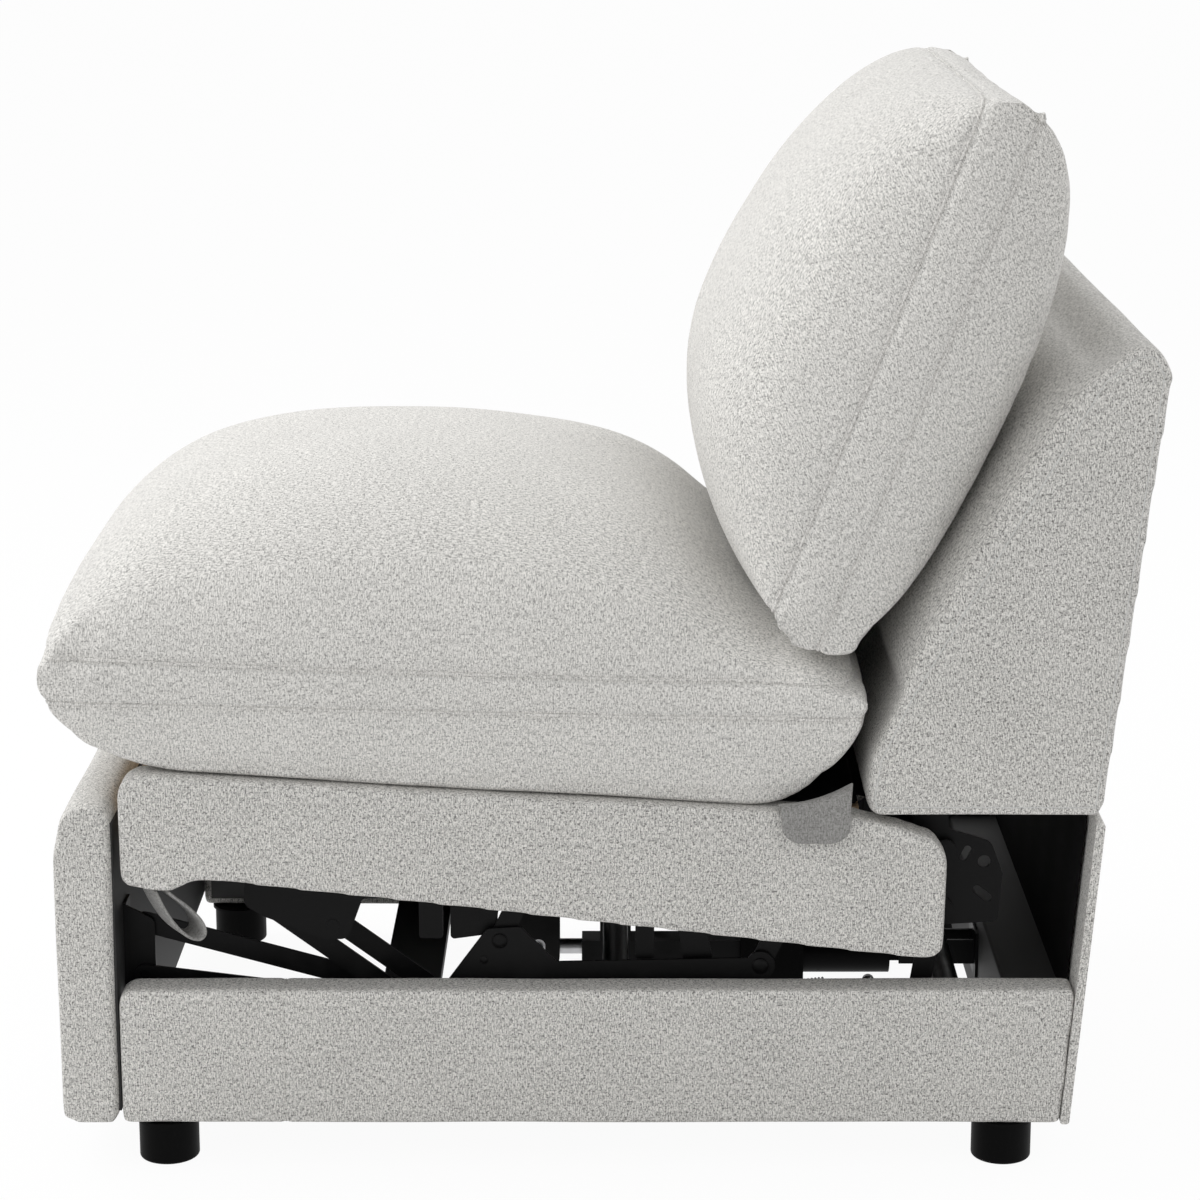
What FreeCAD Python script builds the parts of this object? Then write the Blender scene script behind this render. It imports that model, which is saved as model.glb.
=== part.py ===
import FreeCAD, Part
import math
import os

# Armless recliner, in millimetres.
# The chair faces -Y, its width runs along X, and +Z is up.
# The origin lies on the floor under the middle of the outer box.
# Outlines are (y, z) points, or (y, z, r) points whose corner is rounded to r.

V = FreeCAD.Vector

# Widths across the chair
side_face_x = 342.0
side_inner_x = 300.0
cover_thickness = 9.0
seat_cushion_half = 346.0
pillow_half = 338.0
footrest_half = 342.0

# Fits and seats
running_clearance = 0.08
open_clearance = 0.3
seat_gap = 0.3
soft_gap = 0.6
stud_past = 0.5
cut_past = 1.0
far_x = 400.0

# Plates and links lie side by side in layers, from the rail's inner face inward
plate_thickness = 3.0
layer_gap = 1.5
link_half_width = 10.0
stud_radius = 5.0

# Feet
foot_height = 42.0
foot_radius = 28.5
foot_flange = 2.5
foot_flange_height = 3.0
foot_edge = 3.0
foot_stud_radius = 4.0
foot_stud_length = 34.0
foot_x = 313.0
foot_front_y = -408.0
foot_rear_y = 390.0
foot_bore_play = 3.0

# Base box
base_top = 176.0
base_front_y = -448.5
rear_foot_line_y = 451.0
rear_top_line_y = 476.0
rear_panel_top = 341.0
rear_panel_thickness = 8.5
rear_rail_front_y = 396.0
rear_rail_top = 150.0
front_board_y = (-225.0, -165.0)
front_board_thickness = 12.0
lining_thickness = 1.5
lining_drop = 6.0
base_cover_edge = 5.0

# Base plates, down to the shelf on the rail's foot
plate_drop = 96.0
plate_eye_radius = 14.0
plate_shelf_width = 22.0

# Recline linkage, at rest
lift_length = 125.0
lift_rest_lean = 25.0
front_lift_base = (-90.0, 211.0)
rear_lift_base = (158.0, 186.0)
back_pivot = (332.0, 240.0)
back_pin_rise = 60.0
back_pin_drop = 9.6
back_pin_side = 2.6
back_link_base = (309.6, 160.0)
back_knob_offset = (4.0, 24.0)
back_knob_radius = 6.0
back_knob_length = 3.0

# Footrest linkage, at rest
long_pivot = (-320.0, 248.0)
long_length = 150.0
long_rest_angle = -36.6
drive_offset = 75.0
drive_angle = -19.0
footrest_pivot = (-430.0, 222.0)
keeper_drop = 50.0
keeper_reach = 31.1
keeper_holes = (73.0, 150.0)
keeper_hole_radius = 3.4

# Seat frame
seat_deck_z = 362.0
seat_deck_slope = 0.0612
seat_rail_front_y = -443.0
seat_rail_toe = ((-397.0, 272.0, 10.0), (-372.0, 284.0, 8.0), (-344.0, 283.0, 60.0))
seat_rail_heel = ((315.0, 206.0, 10.0), (328.0, 215.0, 5.0), (330.0, 306.0, 8.0), (318.0, 324.0, 10.0),
                  (286.0, 336.0, 20.0))
seat_rail_toe_z = 278.0
seat_rail_top_rear_y = 238.0
seat_cover_edge = 4.0
seat_front_board_y = (-425.0, -400.0)
seat_front_board_z = 295.0
seat_rear_board_y = (225.0, 250.0)
seat_rear_board_z = 252.0
deck_thickness = 1.6
strap_inset = 4.0
strap_width = 30.0
flap_thickness = 3.0
spring_rows = 6
spring_width = 44.0
spring_thickness = 3.8

# Seat drive, under the middle of the seat
drive_z = 100.0
rod_radius = 8.0
rod_travel = 113.6
rod_end_y = -60.0
rod_tail = 84.0
rod_head_radius = 12.0
rod_head_half = 8.0
rail_front_y = -15.0
rail_half_width = 16.0
rail_half_height = 11.0
rail_bore_play = 6.0
saddle_half_width = 19.0
saddle_half_length = 16.0
gearbox_y = (150.0, 215.0)
gearbox_half_width = 30.0
gearbox_below = 28.0
gearbox_above = 24.0
motor_radius = 27.0
motor_length = 90.0
motor_ear_length = 34.0
motor_ear_half = 14.0
motor_pin_setback = 20.0
socket_setback = 32.0
socket_radius = 4.5
socket_bore = 2.8
socket_drop = 6.0
socket_depth = 5.0
bracket_half_width = 32.0
bracket_half_height = 25.0
bracket_cheek_half = 13.0
yoke_inner_x = 9.0
yoke_thickness = 4.0
yoke_half_width = 22.0
yoke_slot_rise = 12.6
yoke_slot_fall = 4.8
yoke_slot_play = 1.9
yoke_web_z = 60.0
seat_tube = (-60.0, 278.0)
base_front_tube = (20.0, 150.0)
base_rear_tube = (345.0, 135.0)
tube_radius = 12.7
tube_wall = 1.8

# Tension springs beside the rear of the base plates
spring_posts = ((132.0, 152.0), (262.0, 166.0))
spring_post_radius = 3.0
spring_post_past = 2.5
spring_hook_play = 0.5
spring_coil_radius = 6.0
spring_wire_radius = 1.1
spring_turns = 14
spring_pitch = 3.4
spring_x = 283.0

# Footrest panel
footrest_rear_y = -450.0
footrest_front_y = -506.0
footrest_top = 358.0
footrest_board_thickness = 18.0
footrest_board_margin = 10.0
footrest_edge = 5.0
cheek_below = 18.0
cheek_above = 20.0
cheek_flange_width = 26.0

# Back frame and the pad on its front
back_side_thickness = 34.0
back_foot_z = 347.5
back_front_line = ((258.0, 404.0), (286.0, 465.0), (433.0, 722.0), (455.0, 762.0))
back_top = 787.0
back_top_y = (488.0, 509.0)
back_nose = (252.0, 366.0)
back_edge = 4.0
back_rear_top = (523.0, 764.0)
back_rear_foot_y = 473.0
back_panel_thickness = 8.0
back_head_height = 46.0
back_panel_inset = (3.0, 6.0)
bottom_board_depth = 110.0
bottom_board_height = 20.0
apron_thickness = 8.0
pad_crown = 32.9
pad_edge = 12.0
pad_edge_front = 1.0
pad_arc_points = 8
pad_rear_share = 0.92
pad_stations = (0.0, 0.35, 0.65, 0.85, 0.96, 1.0)

# Seat cushion: side points of the middle section, flat where they name the deck
seat_stations = (0.0, 0.2, 0.38, 0.54, 0.68, 0.79, 0.87, 0.93, 0.97, 0.99, 1.0)
seat_middle = (
    (-523.0, 472.0), (-517.0, 515.0), (-492.0, 560.0), (-450.0, 600.0),
    (-395.0, 630.0), (-320.0, 648.0), (-220.0, 655.0), (-120.0, 651.0),
    (-20.0, 637.0), (45.0, 614.0), (92.0, 580.0), (130.0, 540.0),
    (176.0, 506.0), (232.0, 492.0), (263.0, 470.0), (254.0, 424.0),
    (228.0, 386.0), (196.0, 365.0), (150.0, 0.0), (-110.0, 0.0),
    (-380.0, 0.0), (-428.0, 395.0), (-470.0, 411.0), (-508.0, 440.0),
)
seam_front_y = -505.0
seam_rear_y = 250.0
upper_seam_z = (497.0, 470.0)
lower_seam_z = (456.0, 439.0)
seat_plan_y = -130.0
seat_plan_draw = 0.012
seat_under_power = 70

# Back pillow
pillow_foot = (205.0, 508.7)
pillow_lean = 21.5
# The lower edge hangs down beside the crown of the seat cushion
pillow_droop = 3.0
pillow_droop_below = 20.0
pillow_stations = (0.0, 0.25, 0.5, 0.7, 0.84, 0.93, 0.98, 1.0)
# Height along the pillow, then depth at the middle and depth at the side bands
pillow_profile = (
    (-5.0, -6.0, -10.0), (1.0, -44.0, -42.0), (30.0, -97.0, -46.0), (86.0, -150.0, -48.0),
    (160.0, -186.0, -49.0), (240.0, -190.0, -49.0), (320.0, -180.0, -49.0), (390.0, -164.0, -49.0),
    (448.0, -139.0, -48.0), (494.0, -104.0, -46.0), (523.0, -66.0, -38.0), (530.0, -32.0, -20.0),
    (525.0, 2.0, 8.0), (506.0, 38.0, 30.0), (473.0, 62.0, 44.0), (412.0, 80.0, 56.0),
    (309.0, 91.0, 64.0), (188.0, 85.0, 62.0), (90.0, 70.0, 54.0), (40.0, 56.0, 46.0),
    (12.0, 42.0, 36.0), (-3.0, 18.0, 10.0),
)

parts = {}


# Small helpers for points in the side plane

def polar(origin, length, degrees):
    angle = math.radians(degrees)
    return (origin[0] + length * math.cos(angle), origin[1] + length * math.sin(angle))


def shifted(point, dy, dz):
    return (point[0] + dy, point[1] + dz)


def line_y(z):
    """Outer line of the rear panel at height z."""
    lean = (rear_top_line_y - rear_foot_line_y) / (rear_panel_top - foot_height)
    return rear_foot_line_y + lean * (z - foot_height)


def deck(y):
    """Height of the seat deck at y."""
    return seat_deck_z - seat_deck_slope * y


def layer(number):
    """Outer and inner X of a layer, counted from the rail's inner face."""
    outer = side_inner_x - number * (plate_thickness + layer_gap)
    return outer, outer - plate_thickness


base_layer = layer(0)
lift_layer = layer(1)
seat_layer = layer(2)
keeper_layer = layer(3)
long_layer = layer(4)
guide_layer = layer(5)
drive_layer = layer(6)


# Solids

def wire_of(points, x):
    """Closed wire at X with straight runs and tangent corner arcs."""
    corners = []
    count = len(points)
    for i, point in enumerate(points):
        here = V(x, point[0], point[1])
        radius = point[2] if len(point) > 2 else 0.0
        before = points[i - 1]
        after = points[(i + 1) % count]
        if radius == 0.0:
            corners.append((here, here, here))
            continue
        back = (V(x, before[0], before[1]) - here).normalize()
        ahead = (V(x, after[0], after[1]) - here).normalize()
        half = back.getAngle(ahead) / 2.0
        reach = radius / math.tan(half)
        middle = (back + ahead).normalize()
        bulge = here + middle * (radius / math.sin(half) - radius)
        corners.append((here + back * reach, bulge, here + ahead * reach))
    edges = []
    for i, (start, bulge, end) in enumerate(corners):
        if (end - start).Length > 1e-6:
            edges.append(Part.Arc(start, bulge, end).toShape())
        following = corners[(i + 1) % count][0]
        if (following - end).Length > 1e-6:
            edges.append(Part.makeLine(end, following))
    return Part.Wire(edges)


def prism(points, x0, x1):
    """Solid between two X planes over a rounded outline."""
    face = Part.Face(wire_of(points, min(x0, x1)))
    return face.extrude(V(abs(x1 - x0), 0, 0))


def rod(point, radius, x0, x1):
    """Round bar along X."""
    start = min(x0, x1)
    return Part.makeCylinder(radius, abs(x1 - x0), V(start, point[0], point[1]), V(1, 0, 0))


def box(x0, x1, y0, y1, z0, z1):
    return Part.makeBox(x1 - x0, y1 - y0, z1 - z0, V(x0, y0, z0))


def strap(start, end, half_width, x0, x1):
    """Flat bar with round ends between two points."""
    along = V(0, end[0] - start[0], end[1] - start[1]).normalize()
    across = V(0, -along.z, along.y) * half_width
    x = min(x0, x1)
    a = V(x, start[0], start[1])
    b = V(x, end[0], end[1])
    tip = along * half_width
    edges = [
        Part.makeLine(a + across, b + across),
        Part.Arc(b + across, b + tip, b - across).toShape(),
        Part.makeLine(b - across, a - across),
        Part.Arc(a - across, a - tip, a + across).toShape(),
    ]
    return Part.Face(Part.Wire(edges)).extrude(V(abs(x1 - x0), 0, 0))


def drilled(shape, points, radius):
    for point in points:
        shape = shape.cut(rod(point, radius, -far_x, far_x))
    return shape


def fused(first, *others):
    result = first
    for other in others:
        result = result.fuse(other)
    return result.removeSplitter()


def other_side(shape):
    return shape.mirror(V(0, 0, 0), V(1, 0, 0))


def pair(name, shape):
    """A piece of the +X side and its mirror on the far side."""
    parts[name + "_left"] = shape
    parts[name + "_right"] = other_side(shape)


def both(name, shape):
    """A small piece and its mirror as two solids of one node."""
    parts[name] = Part.makeCompound([shape, other_side(shape)])


def softened(shape, x, radius):
    """Rounds every edge of the flat face at X."""
    edges = []
    for edge in shape.Edges:
        if edge.BoundBox.XMin > x - 0.01 and edge.BoundBox.XMax < x + 0.01:
            edges.append(edge)
    return shape.makeFillet(radius, edges)


def inset(points, amount):
    """Outline moved inward by one amount, for convex or gently turned outlines."""
    count = len(points)
    area = 0.0
    for i, point in enumerate(points):
        after = points[(i + 1) % count]
        area += point[0] * after[1] - after[0] * point[1]
    sign = 1.0 if area > 0 else -1.0
    result = []
    for i, point in enumerate(points):
        before = points[i - 1]
        after = points[(i + 1) % count]
        first = V(point[0] - before[0], point[1] - before[1], 0).normalize()
        second = V(after[0] - point[0], after[1] - point[1], 0).normalize()
        inward = V(-first.y - second.y, first.x + second.x, 0) * sign
        scale = amount / (1.0 + first.dot(second))
        moved = (point[0] + inward.x * scale, point[1] + inward.y * scale)
        radius = max(point[2] - amount, 0.0) if len(point) > 2 else 0.0
        result.append((moved[0], moved[1], radius) if radius else moved)
    return result


# Cushions are lofts through closed sections made of arcs

def bow(start, middle, end):
    """Arc through three points, or a line where they lie in one."""
    if (middle - start).cross(end - start).Length < 0.01 * (end - start).Length:
        return Part.makeLine(start, end)
    return Part.Arc(start, middle, end).toShape()


def arc_wire(points):
    """Closed wire of arcs, each through three points in a row."""
    edges = []
    count = len(points)
    for i in range(0, count, 2):
        start = points[i]
        middle = points[i + 1]
        end = points[(i + 2) % count]
        edges.append(bow(start, middle, end))
    return Part.Wire(edges)


def cushion(half, stations, section, ruled):
    """Loft across X through section(share, x) at each station and its mirror."""
    shares = [-s for s in reversed(stations[1:])] + list(stations)
    wires = [arc_wire(section(abs(share), share * half)) for share in shares]
    return Part.makeLoft(wires, True, ruled)


def blend(a, b, share):
    return a + (b - a) * share


# Base box: wooden side rails in padded covers, on four feet

def base_side_outline():
    return [
        (base_front_y, foot_height, 4.0),
        (line_y(foot_height) - rear_panel_thickness, foot_height),
        (line_y(base_top) - rear_panel_thickness, base_top, 6.0),
        (base_front_y, base_top, 16.0),
    ]


def make_base():
    outline = base_side_outline()
    core_outline = inset(outline, cover_thickness)
    core_x = side_face_x - cover_thickness
    core = prism(core_outline, side_inner_x, core_x)
    cover = softened(prism(outline, side_inner_x, side_face_x), side_face_x, base_cover_edge)
    cover = cover.cut(core)
    bore_length = foot_stud_length + foot_bore_play + cut_past
    for y in (foot_front_y, foot_rear_y):
        bore = Part.makeCylinder(foot_stud_radius + open_clearance, bore_length,
                                 V(foot_x, y, foot_height - cut_past))
        core = core.cut(bore)
        cover = cover.cut(bore)
    pair("base_side_core", core)
    pair("base_side_cover", cover)

    board_y0, board_y1 = front_board_y
    parts["base_front_board"] = box(-side_inner_x, side_inner_x, board_y0, board_y1,
                                    foot_height, foot_height + front_board_thickness)
    inner = rear_panel_thickness
    rear_rail = [
        (rear_rail_front_y, foot_height),
        (line_y(foot_height) - inner, foot_height),
        (line_y(rear_rail_top) - inner, rear_rail_top),
        (rear_rail_front_y, rear_rail_top, 3.0),
    ]
    parts["base_rear_rail"] = prism(rear_rail, -side_inner_x, side_inner_x)
    panel = [
        (line_y(foot_height) - inner, foot_height, 2.0),
        (line_y(foot_height), foot_height, 3.0),
        (line_y(rear_panel_top), rear_panel_top, 4.0),
        (line_y(rear_panel_top) - inner, rear_panel_top, 3.0),
    ]
    parts["rear_panel"] = prism(panel, -side_face_x, side_face_x)
    lining_top = rear_panel_top - lining_drop
    lining = [
        (line_y(rear_rail_top) - inner - lining_thickness, rear_rail_top),
        (line_y(rear_rail_top) - inner, rear_rail_top),
        (line_y(lining_top) - inner, lining_top),
        (line_y(lining_top) - inner - lining_thickness, lining_top),
    ]
    parts["rear_lining"] = prism(lining, -side_inner_x, side_inner_x)

    foot = Part.makeCylinder(foot_radius, foot_height, V(0, 0, 0))
    rim = [edge for edge in foot.Edges if edge.BoundBox.ZMax < 0.01]
    foot = foot.makeFillet(foot_edge, rim)
    flange = Part.makeCylinder(foot_radius + foot_flange, foot_flange_height,
                               V(0, 0, foot_height - foot_flange_height))
    stud = Part.makeCylinder(foot_stud_radius, foot_stud_length, V(0, 0, foot_height))
    foot = fused(foot, flange, stud)
    for label, y in (("front", foot_front_y), ("rear", foot_rear_y)):
        for side, x in (("left", foot_x), ("right", -foot_x)):
            parts["foot_" + label + "_" + side] = foot.translated(V(x, y, 0))


# Steel base plates with the gusset, the long arm and its eye, the link lug and cross tubes

def make_base_plates():
    outer, inner = base_layer
    bf = front_lift_base
    br = rear_lift_base
    u = back_link_base
    floor = bf[1] - plate_drop
    gusset = [
        (bf[0] - 62, floor),
        (bf[0] - 62, bf[1] - 52),
        (bf[0] - 50, bf[1] - 40, 4.0),
        (bf[0] - 12, bf[1] + 12, 6.0),
        (bf[0] + 20, bf[1] + 14, 6.0),
        (bf[0] + 54, bf[1] - 21, 8.0),
        (br[0], br[1] + 8),
        (br[0], br[1] - 12, 4.0),
        (br[0] + 20, br[1] - 30, 6.0),
        (u[0] - 34, u[1] - 4, 6.0),
        (u[0], u[1] + 13, 8.0),
        (u[0] + 22, u[1] - 6, 8.0),
        (base_rear_tube[0] + 20, base_rear_tube[1] + 12, 8.0),
        (base_rear_tube[0] + 20, floor, 6.0),
    ]
    plate = prism(gusset, outer, inner)
    plate = fused(plate, rod(br, plate_eye_radius, outer, inner),
                  rod(u, plate_eye_radius, outer, inner))
    shelf = box(inner - plate_shelf_width, outer, bf[0] - 10, base_rear_tube[0],
                floor - plate_thickness, floor)
    plate = fused(plate, shelf)
    stud_end = lift_layer[1] - stud_past
    studs = [rod(point, stud_radius, outer, stud_end) for point in (bf, br, u)]
    posts = [rod(point, spring_post_radius, outer, spring_x - spring_post_past)
             for point in spring_posts]
    plate = fused(plate, *studs, *posts)
    pair("base_plate", plate)
    reach = base_layer[1]
    front_tube = rod(base_front_tube, tube_radius, -reach, reach)
    rear_tube = rod(base_rear_tube, tube_radius, -reach, reach)
    bore_radius = tube_radius - tube_wall
    parts["base_front_tube"] = front_tube.cut(rod(base_front_tube, bore_radius, -reach, reach))
    parts["base_rear_tube"] = rear_tube.cut(rod(base_rear_tube, bore_radius, -reach, reach))


# Lift links

def lift_top(base):
    return polar(base, lift_length, 90.0 - lift_rest_lean)


def make_lift_links():
    outer, inner = lift_layer
    for name, base in (("front_lift", front_lift_base), ("rear_lift", rear_lift_base)):
        link = strap(base, lift_top(base), link_half_width, outer, inner)
        link = drilled(link, (base, lift_top(base)), stud_radius + running_clearance)
        pair(name, link)


# Seat side rails, boards, plates, springs and deck

def seat_rail_outline():
    return [
        (seat_rail_front_y, seat_rail_toe_z, 14.0),
        *seat_rail_toe,
        *seat_rail_heel,
        (seat_rail_top_rear_y, deck(seat_rail_top_rear_y), 20.0),
        (seat_rail_front_y, deck(seat_rail_front_y) - 1.0, 22.0),
    ]


def make_seat_frame():
    outline = seat_rail_outline()
    core_outline = inset(outline, cover_thickness)
    core = prism(core_outline, side_inner_x, side_face_x - cover_thickness)
    cover = softened(prism(outline, side_inner_x, side_face_x), side_face_x, seat_cover_edge)
    cover = cover.cut(core)
    pair("seat_rail_core", core)
    pair("seat_rail_cover", cover)
    half = side_inner_x
    below = spring_thickness + deck_thickness + seat_gap
    front0, front1 = seat_front_board_y
    rear0, rear1 = seat_rear_board_y
    front_board = [
        (front0, seat_front_board_z),
        (front1, seat_front_board_z),
        (front1, deck(front1) - below),
        (front0, deck(front0) - below),
    ]
    parts["seat_front_board"] = prism(front_board, -half, half)
    rear_board = [
        (rear0, seat_rear_board_z),
        (rear1, seat_rear_board_z),
        (rear1, deck(rear1) - below),
        (rear0, deck(rear0) - below),
    ]
    parts["seat_rear_board"] = prism(rear_board, -seat_layer[1], seat_layer[1])
    spring_line = [
        (front0, deck(front0) - below),
        (rear1, deck(rear1) - below),
        (rear1, deck(rear1) - below + spring_thickness),
        (front0, deck(front0) - below + spring_thickness),
    ]
    step = 2.0 * half / spring_rows
    springs = []
    for row in range(spring_rows):
        x = -half + (row + 0.5) * step
        springs.append(prism(spring_line, x - spring_width / 2.0, x + spring_width / 2.0))
    parts["seat_springs"] = Part.makeCompound(springs)
    low = below - spring_thickness
    cloth = [
        (front0, deck(front0) - low),
        (rear1, deck(rear1) - low),
        (rear1, deck(rear1) - low + deck_thickness),
        (front0, deck(front0) - low + deck_thickness),
    ]
    parts["seat_deck_cloth"] = prism(cloth, -half, half)


def long_point(share):
    return polar(long_pivot, share, long_rest_angle)


def drive_vector():
    return polar((0.0, 0.0), drive_offset, drive_angle)


def drive_pivot():
    return shifted(long_pivot, *drive_vector())


def make_seat_plates():
    outer, inner = seat_layer
    pa = long_pivot
    pb = drive_pivot()
    sf = lift_top(front_lift_base)
    sr = lift_top(rear_lift_base)
    h = back_pivot
    outline = [
        (pa[0] - 14, pa[1] - 4, 12.0),
        (pa[0] + 6, pa[1] - 16, 10.0),
        (pb[0] - 8, pb[1] - 14, 8.0),
        (pb[0] + 14, pb[1] - 14, 10.0),
        (pb[0] + 30, pb[1] + 30, 10.0),
        (pb[0] + 82, pb[1] + 26),
        (pb[0] + 82, pb[1] - 13, 3.0),
        (pb[0] + 105, pb[1] - 13, 3.0),
        (pb[0] + 105, pb[1] + 23),
        (pb[0] + 112, pb[1] + 23),
        (pb[0] + 112, pb[1] - 14, 4.0),
        (pb[0] + 156, pb[1] - 8, 4.0),
        (pb[0] + 158, pb[1] + 20, 8.0),
        (h[0] - 293, h[1] - 6),
        (h[0] - 293, h[1] - 50, 3.0),
        (h[0] - 275, h[1] - 50, 3.0),
        (h[0] - 275, h[1] - 8),
        (h[0] - 254, h[1] - 10, 5.0),
        (h[0] - 246, h[1] - 58, 5.0),
        (h[0] - 218, h[1] - 58, 5.0),
        (h[0] - 226, h[1] - 12, 8.0),
        (h[0], h[1] - 16, 14.0),
        (h[0] + 16, h[1], 14.0),
        (h[0] - 4, h[1] + 16, 12.0),
        (sr[0] + 60, sr[1] - 20, 20.0),
        (sr[0] + 12, sr[1] + 15, 10.0),
        (sr[0] - 14, sr[1] + 15, 10.0),
        (sr[0] - 40, sr[1] - 6, 12.0),
        (sf[0] + 40, sf[1] - 16, 12.0),
        (sf[0] + 14, sf[1] + 15, 10.0),
        (sf[0] - 12, sf[1] + 15, 10.0),
        (sf[0] - 40, sf[1] - 16, 12.0),
        (pb[0], pb[1] + 84, 20.0),
        (pa[0] - 10, pa[1] + 40, 12.0),
    ]
    plate = prism(outline, outer, inner)
    pads = [
        box(outer, side_inner_x, pb[0] + 4, pb[0] + 44, pb[1] + 76, pb[1] + 94),
        box(outer, side_inner_x, 62.0, 102.0, sf[1] - 28, sf[1] - 8),
        box(outer, side_inner_x, 266.0, 290.0, h[1] + 24, h[1] + 40),
    ]
    pads = [pad.common(prism(outline, side_inner_x, outer)) for pad in pads]
    lift_outer = lift_layer[0]
    keeper_inner = keeper_layer[1]
    long_inner = long_layer[1]
    studs = [rod(point, stud_radius, inner, lift_outer + stud_past) for point in (sf, sr)]
    studs.append(rod(pa, stud_radius, outer, long_inner - stud_past))
    studs.append(rod(h, stud_radius, outer, keeper_inner - stud_past))
    plate = fused(plate, *pads, *studs)
    plate = drilled(plate, (pb,), stud_radius + 1.0 + running_clearance)
    pair("seat_plate", plate)

    reach = seat_layer[1]
    tube = rod(seat_tube, tube_radius, -reach, reach)
    parts["seat_cross_tube"] = tube.cut(rod(seat_tube, tube_radius - tube_wall, -reach, reach))


# Footrest linkage

def make_footrest_links():
    pa = long_pivot
    pb = drive_pivot()
    cross = long_point(long_length)
    keeper = long_point(long_length + keeper_reach)
    guide_end = shifted(cross, *drive_vector())
    pivot = footrest_pivot
    lower = shifted(pivot, 0.0, -keeper_drop)
    hole = stud_radius + running_clearance

    outer, inner = long_layer
    long_link = strap(pa, keeper, link_half_width, outer, inner)
    long_link = drilled(long_link, (pa,), hole)
    long_link = fused(long_link,
                      rod(keeper, stud_radius, inner, keeper_layer[0] + stud_past),
                      rod(cross, stud_radius, outer, guide_layer[1] - stud_past))
    pair("footrest_long_link", long_link)

    outer, inner = keeper_layer
    keeper_link = strap(keeper, lower, link_half_width, outer, inner)
    keeper_link = drilled(keeper_link, (keeper, lower), hole)
    span = math.dist(keeper, lower)
    lightening = [(blend(lower[0], keeper[0], place / span), blend(lower[1], keeper[1], place / span))
                  for place in keeper_holes]
    keeper_link = drilled(keeper_link, lightening, keeper_hole_radius)
    both("footrest_keeper_links", keeper_link)

    outer, inner = guide_layer
    guide = fused(strap(pivot, cross, link_half_width, outer, inner),
                  strap(cross, guide_end, link_half_width, outer, inner))
    guide = drilled(guide, (pivot, cross), hole)
    guide = fused(guide, rod(guide_end, stud_radius, outer, drive_layer[1] - stud_past))
    both("footrest_guide_links", guide)

    outer, inner = drive_layer
    drive = strap(pb, guide_end, link_half_width, outer, inner)
    drive = fused(drive, rod(pb, tube_radius + 3.0, outer, inner),
                  rod(pb, stud_radius + 1.0, outer, seat_layer[0] + stud_past))
    drive = drilled(drive, (guide_end,), stud_radius + open_clearance)
    tube = rod(pb, tube_radius, -inner, inner)
    tube = tube.cut(rod(pb, tube_radius - tube_wall, -inner, inner))
    parts["footrest_torque_tube"] = fused(tube, drive, other_side(drive))


# Footrest panel

def footrest_outline():
    rear = footrest_rear_y
    front = footrest_front_y
    return [
        (rear, foot_height, 4.0),
        (rear, footrest_top - 8.0, 10.0),
        (rear - 14.0, footrest_top, 14.0),
        (front + 10.0, footrest_top - 3.0, 22.0),
        (front, footrest_top - 50.0, 60.0),
        (front, foot_height, 12.0),
    ]


def make_footrest():
    rear = footrest_rear_y
    outline = footrest_outline()
    pad = prism(outline, -footrest_half, footrest_half)
    pad = softened(pad, footrest_half, footrest_edge)
    pad = softened(pad, -footrest_half, footrest_edge)
    margin = footrest_board_margin
    half = footrest_half - margin
    board = box(-half, half, rear - footrest_board_thickness, rear,
                foot_height + margin, footrest_top - 2.0 * margin)
    parts["footrest_board"] = board
    parts["footrest_pad"] = pad.cut(board)
    pivot = footrest_pivot
    lower = shifted(pivot, 0.0, -keeper_drop)
    outer, inner = long_layer
    cheek = [
        (rear, lower[1] - cheek_below, 3.0),
        (lower[0], lower[1] - 10.0, 8.0),
        (pivot[0] + 10.0, lower[1], 6.0),
        (pivot[0] + 10.0, pivot[1] + 4.0, 8.0),
        (rear, pivot[1] + cheek_above, 3.0),
    ]
    plate = prism(cheek, outer, inner)
    flange = box(inner - cheek_flange_width, outer, rear, rear + plate_thickness,
                 lower[1] - cheek_below, pivot[1] + cheek_above)
    stud = rod(pivot, stud_radius, outer, guide_layer[1] - stud_past)
    pair("footrest_bracket", fused(plate, flange, stud))


# Seat drive: motor, gearbox and rail on the base, rod that pushes the yoke under the seat

def along_y(radius, y0, y1):
    """Round bar along Y on the drive's middle line."""
    return Part.makeCylinder(radius, y1 - y0, V(0, y0, drive_z), V(0, 1, 0))


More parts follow.
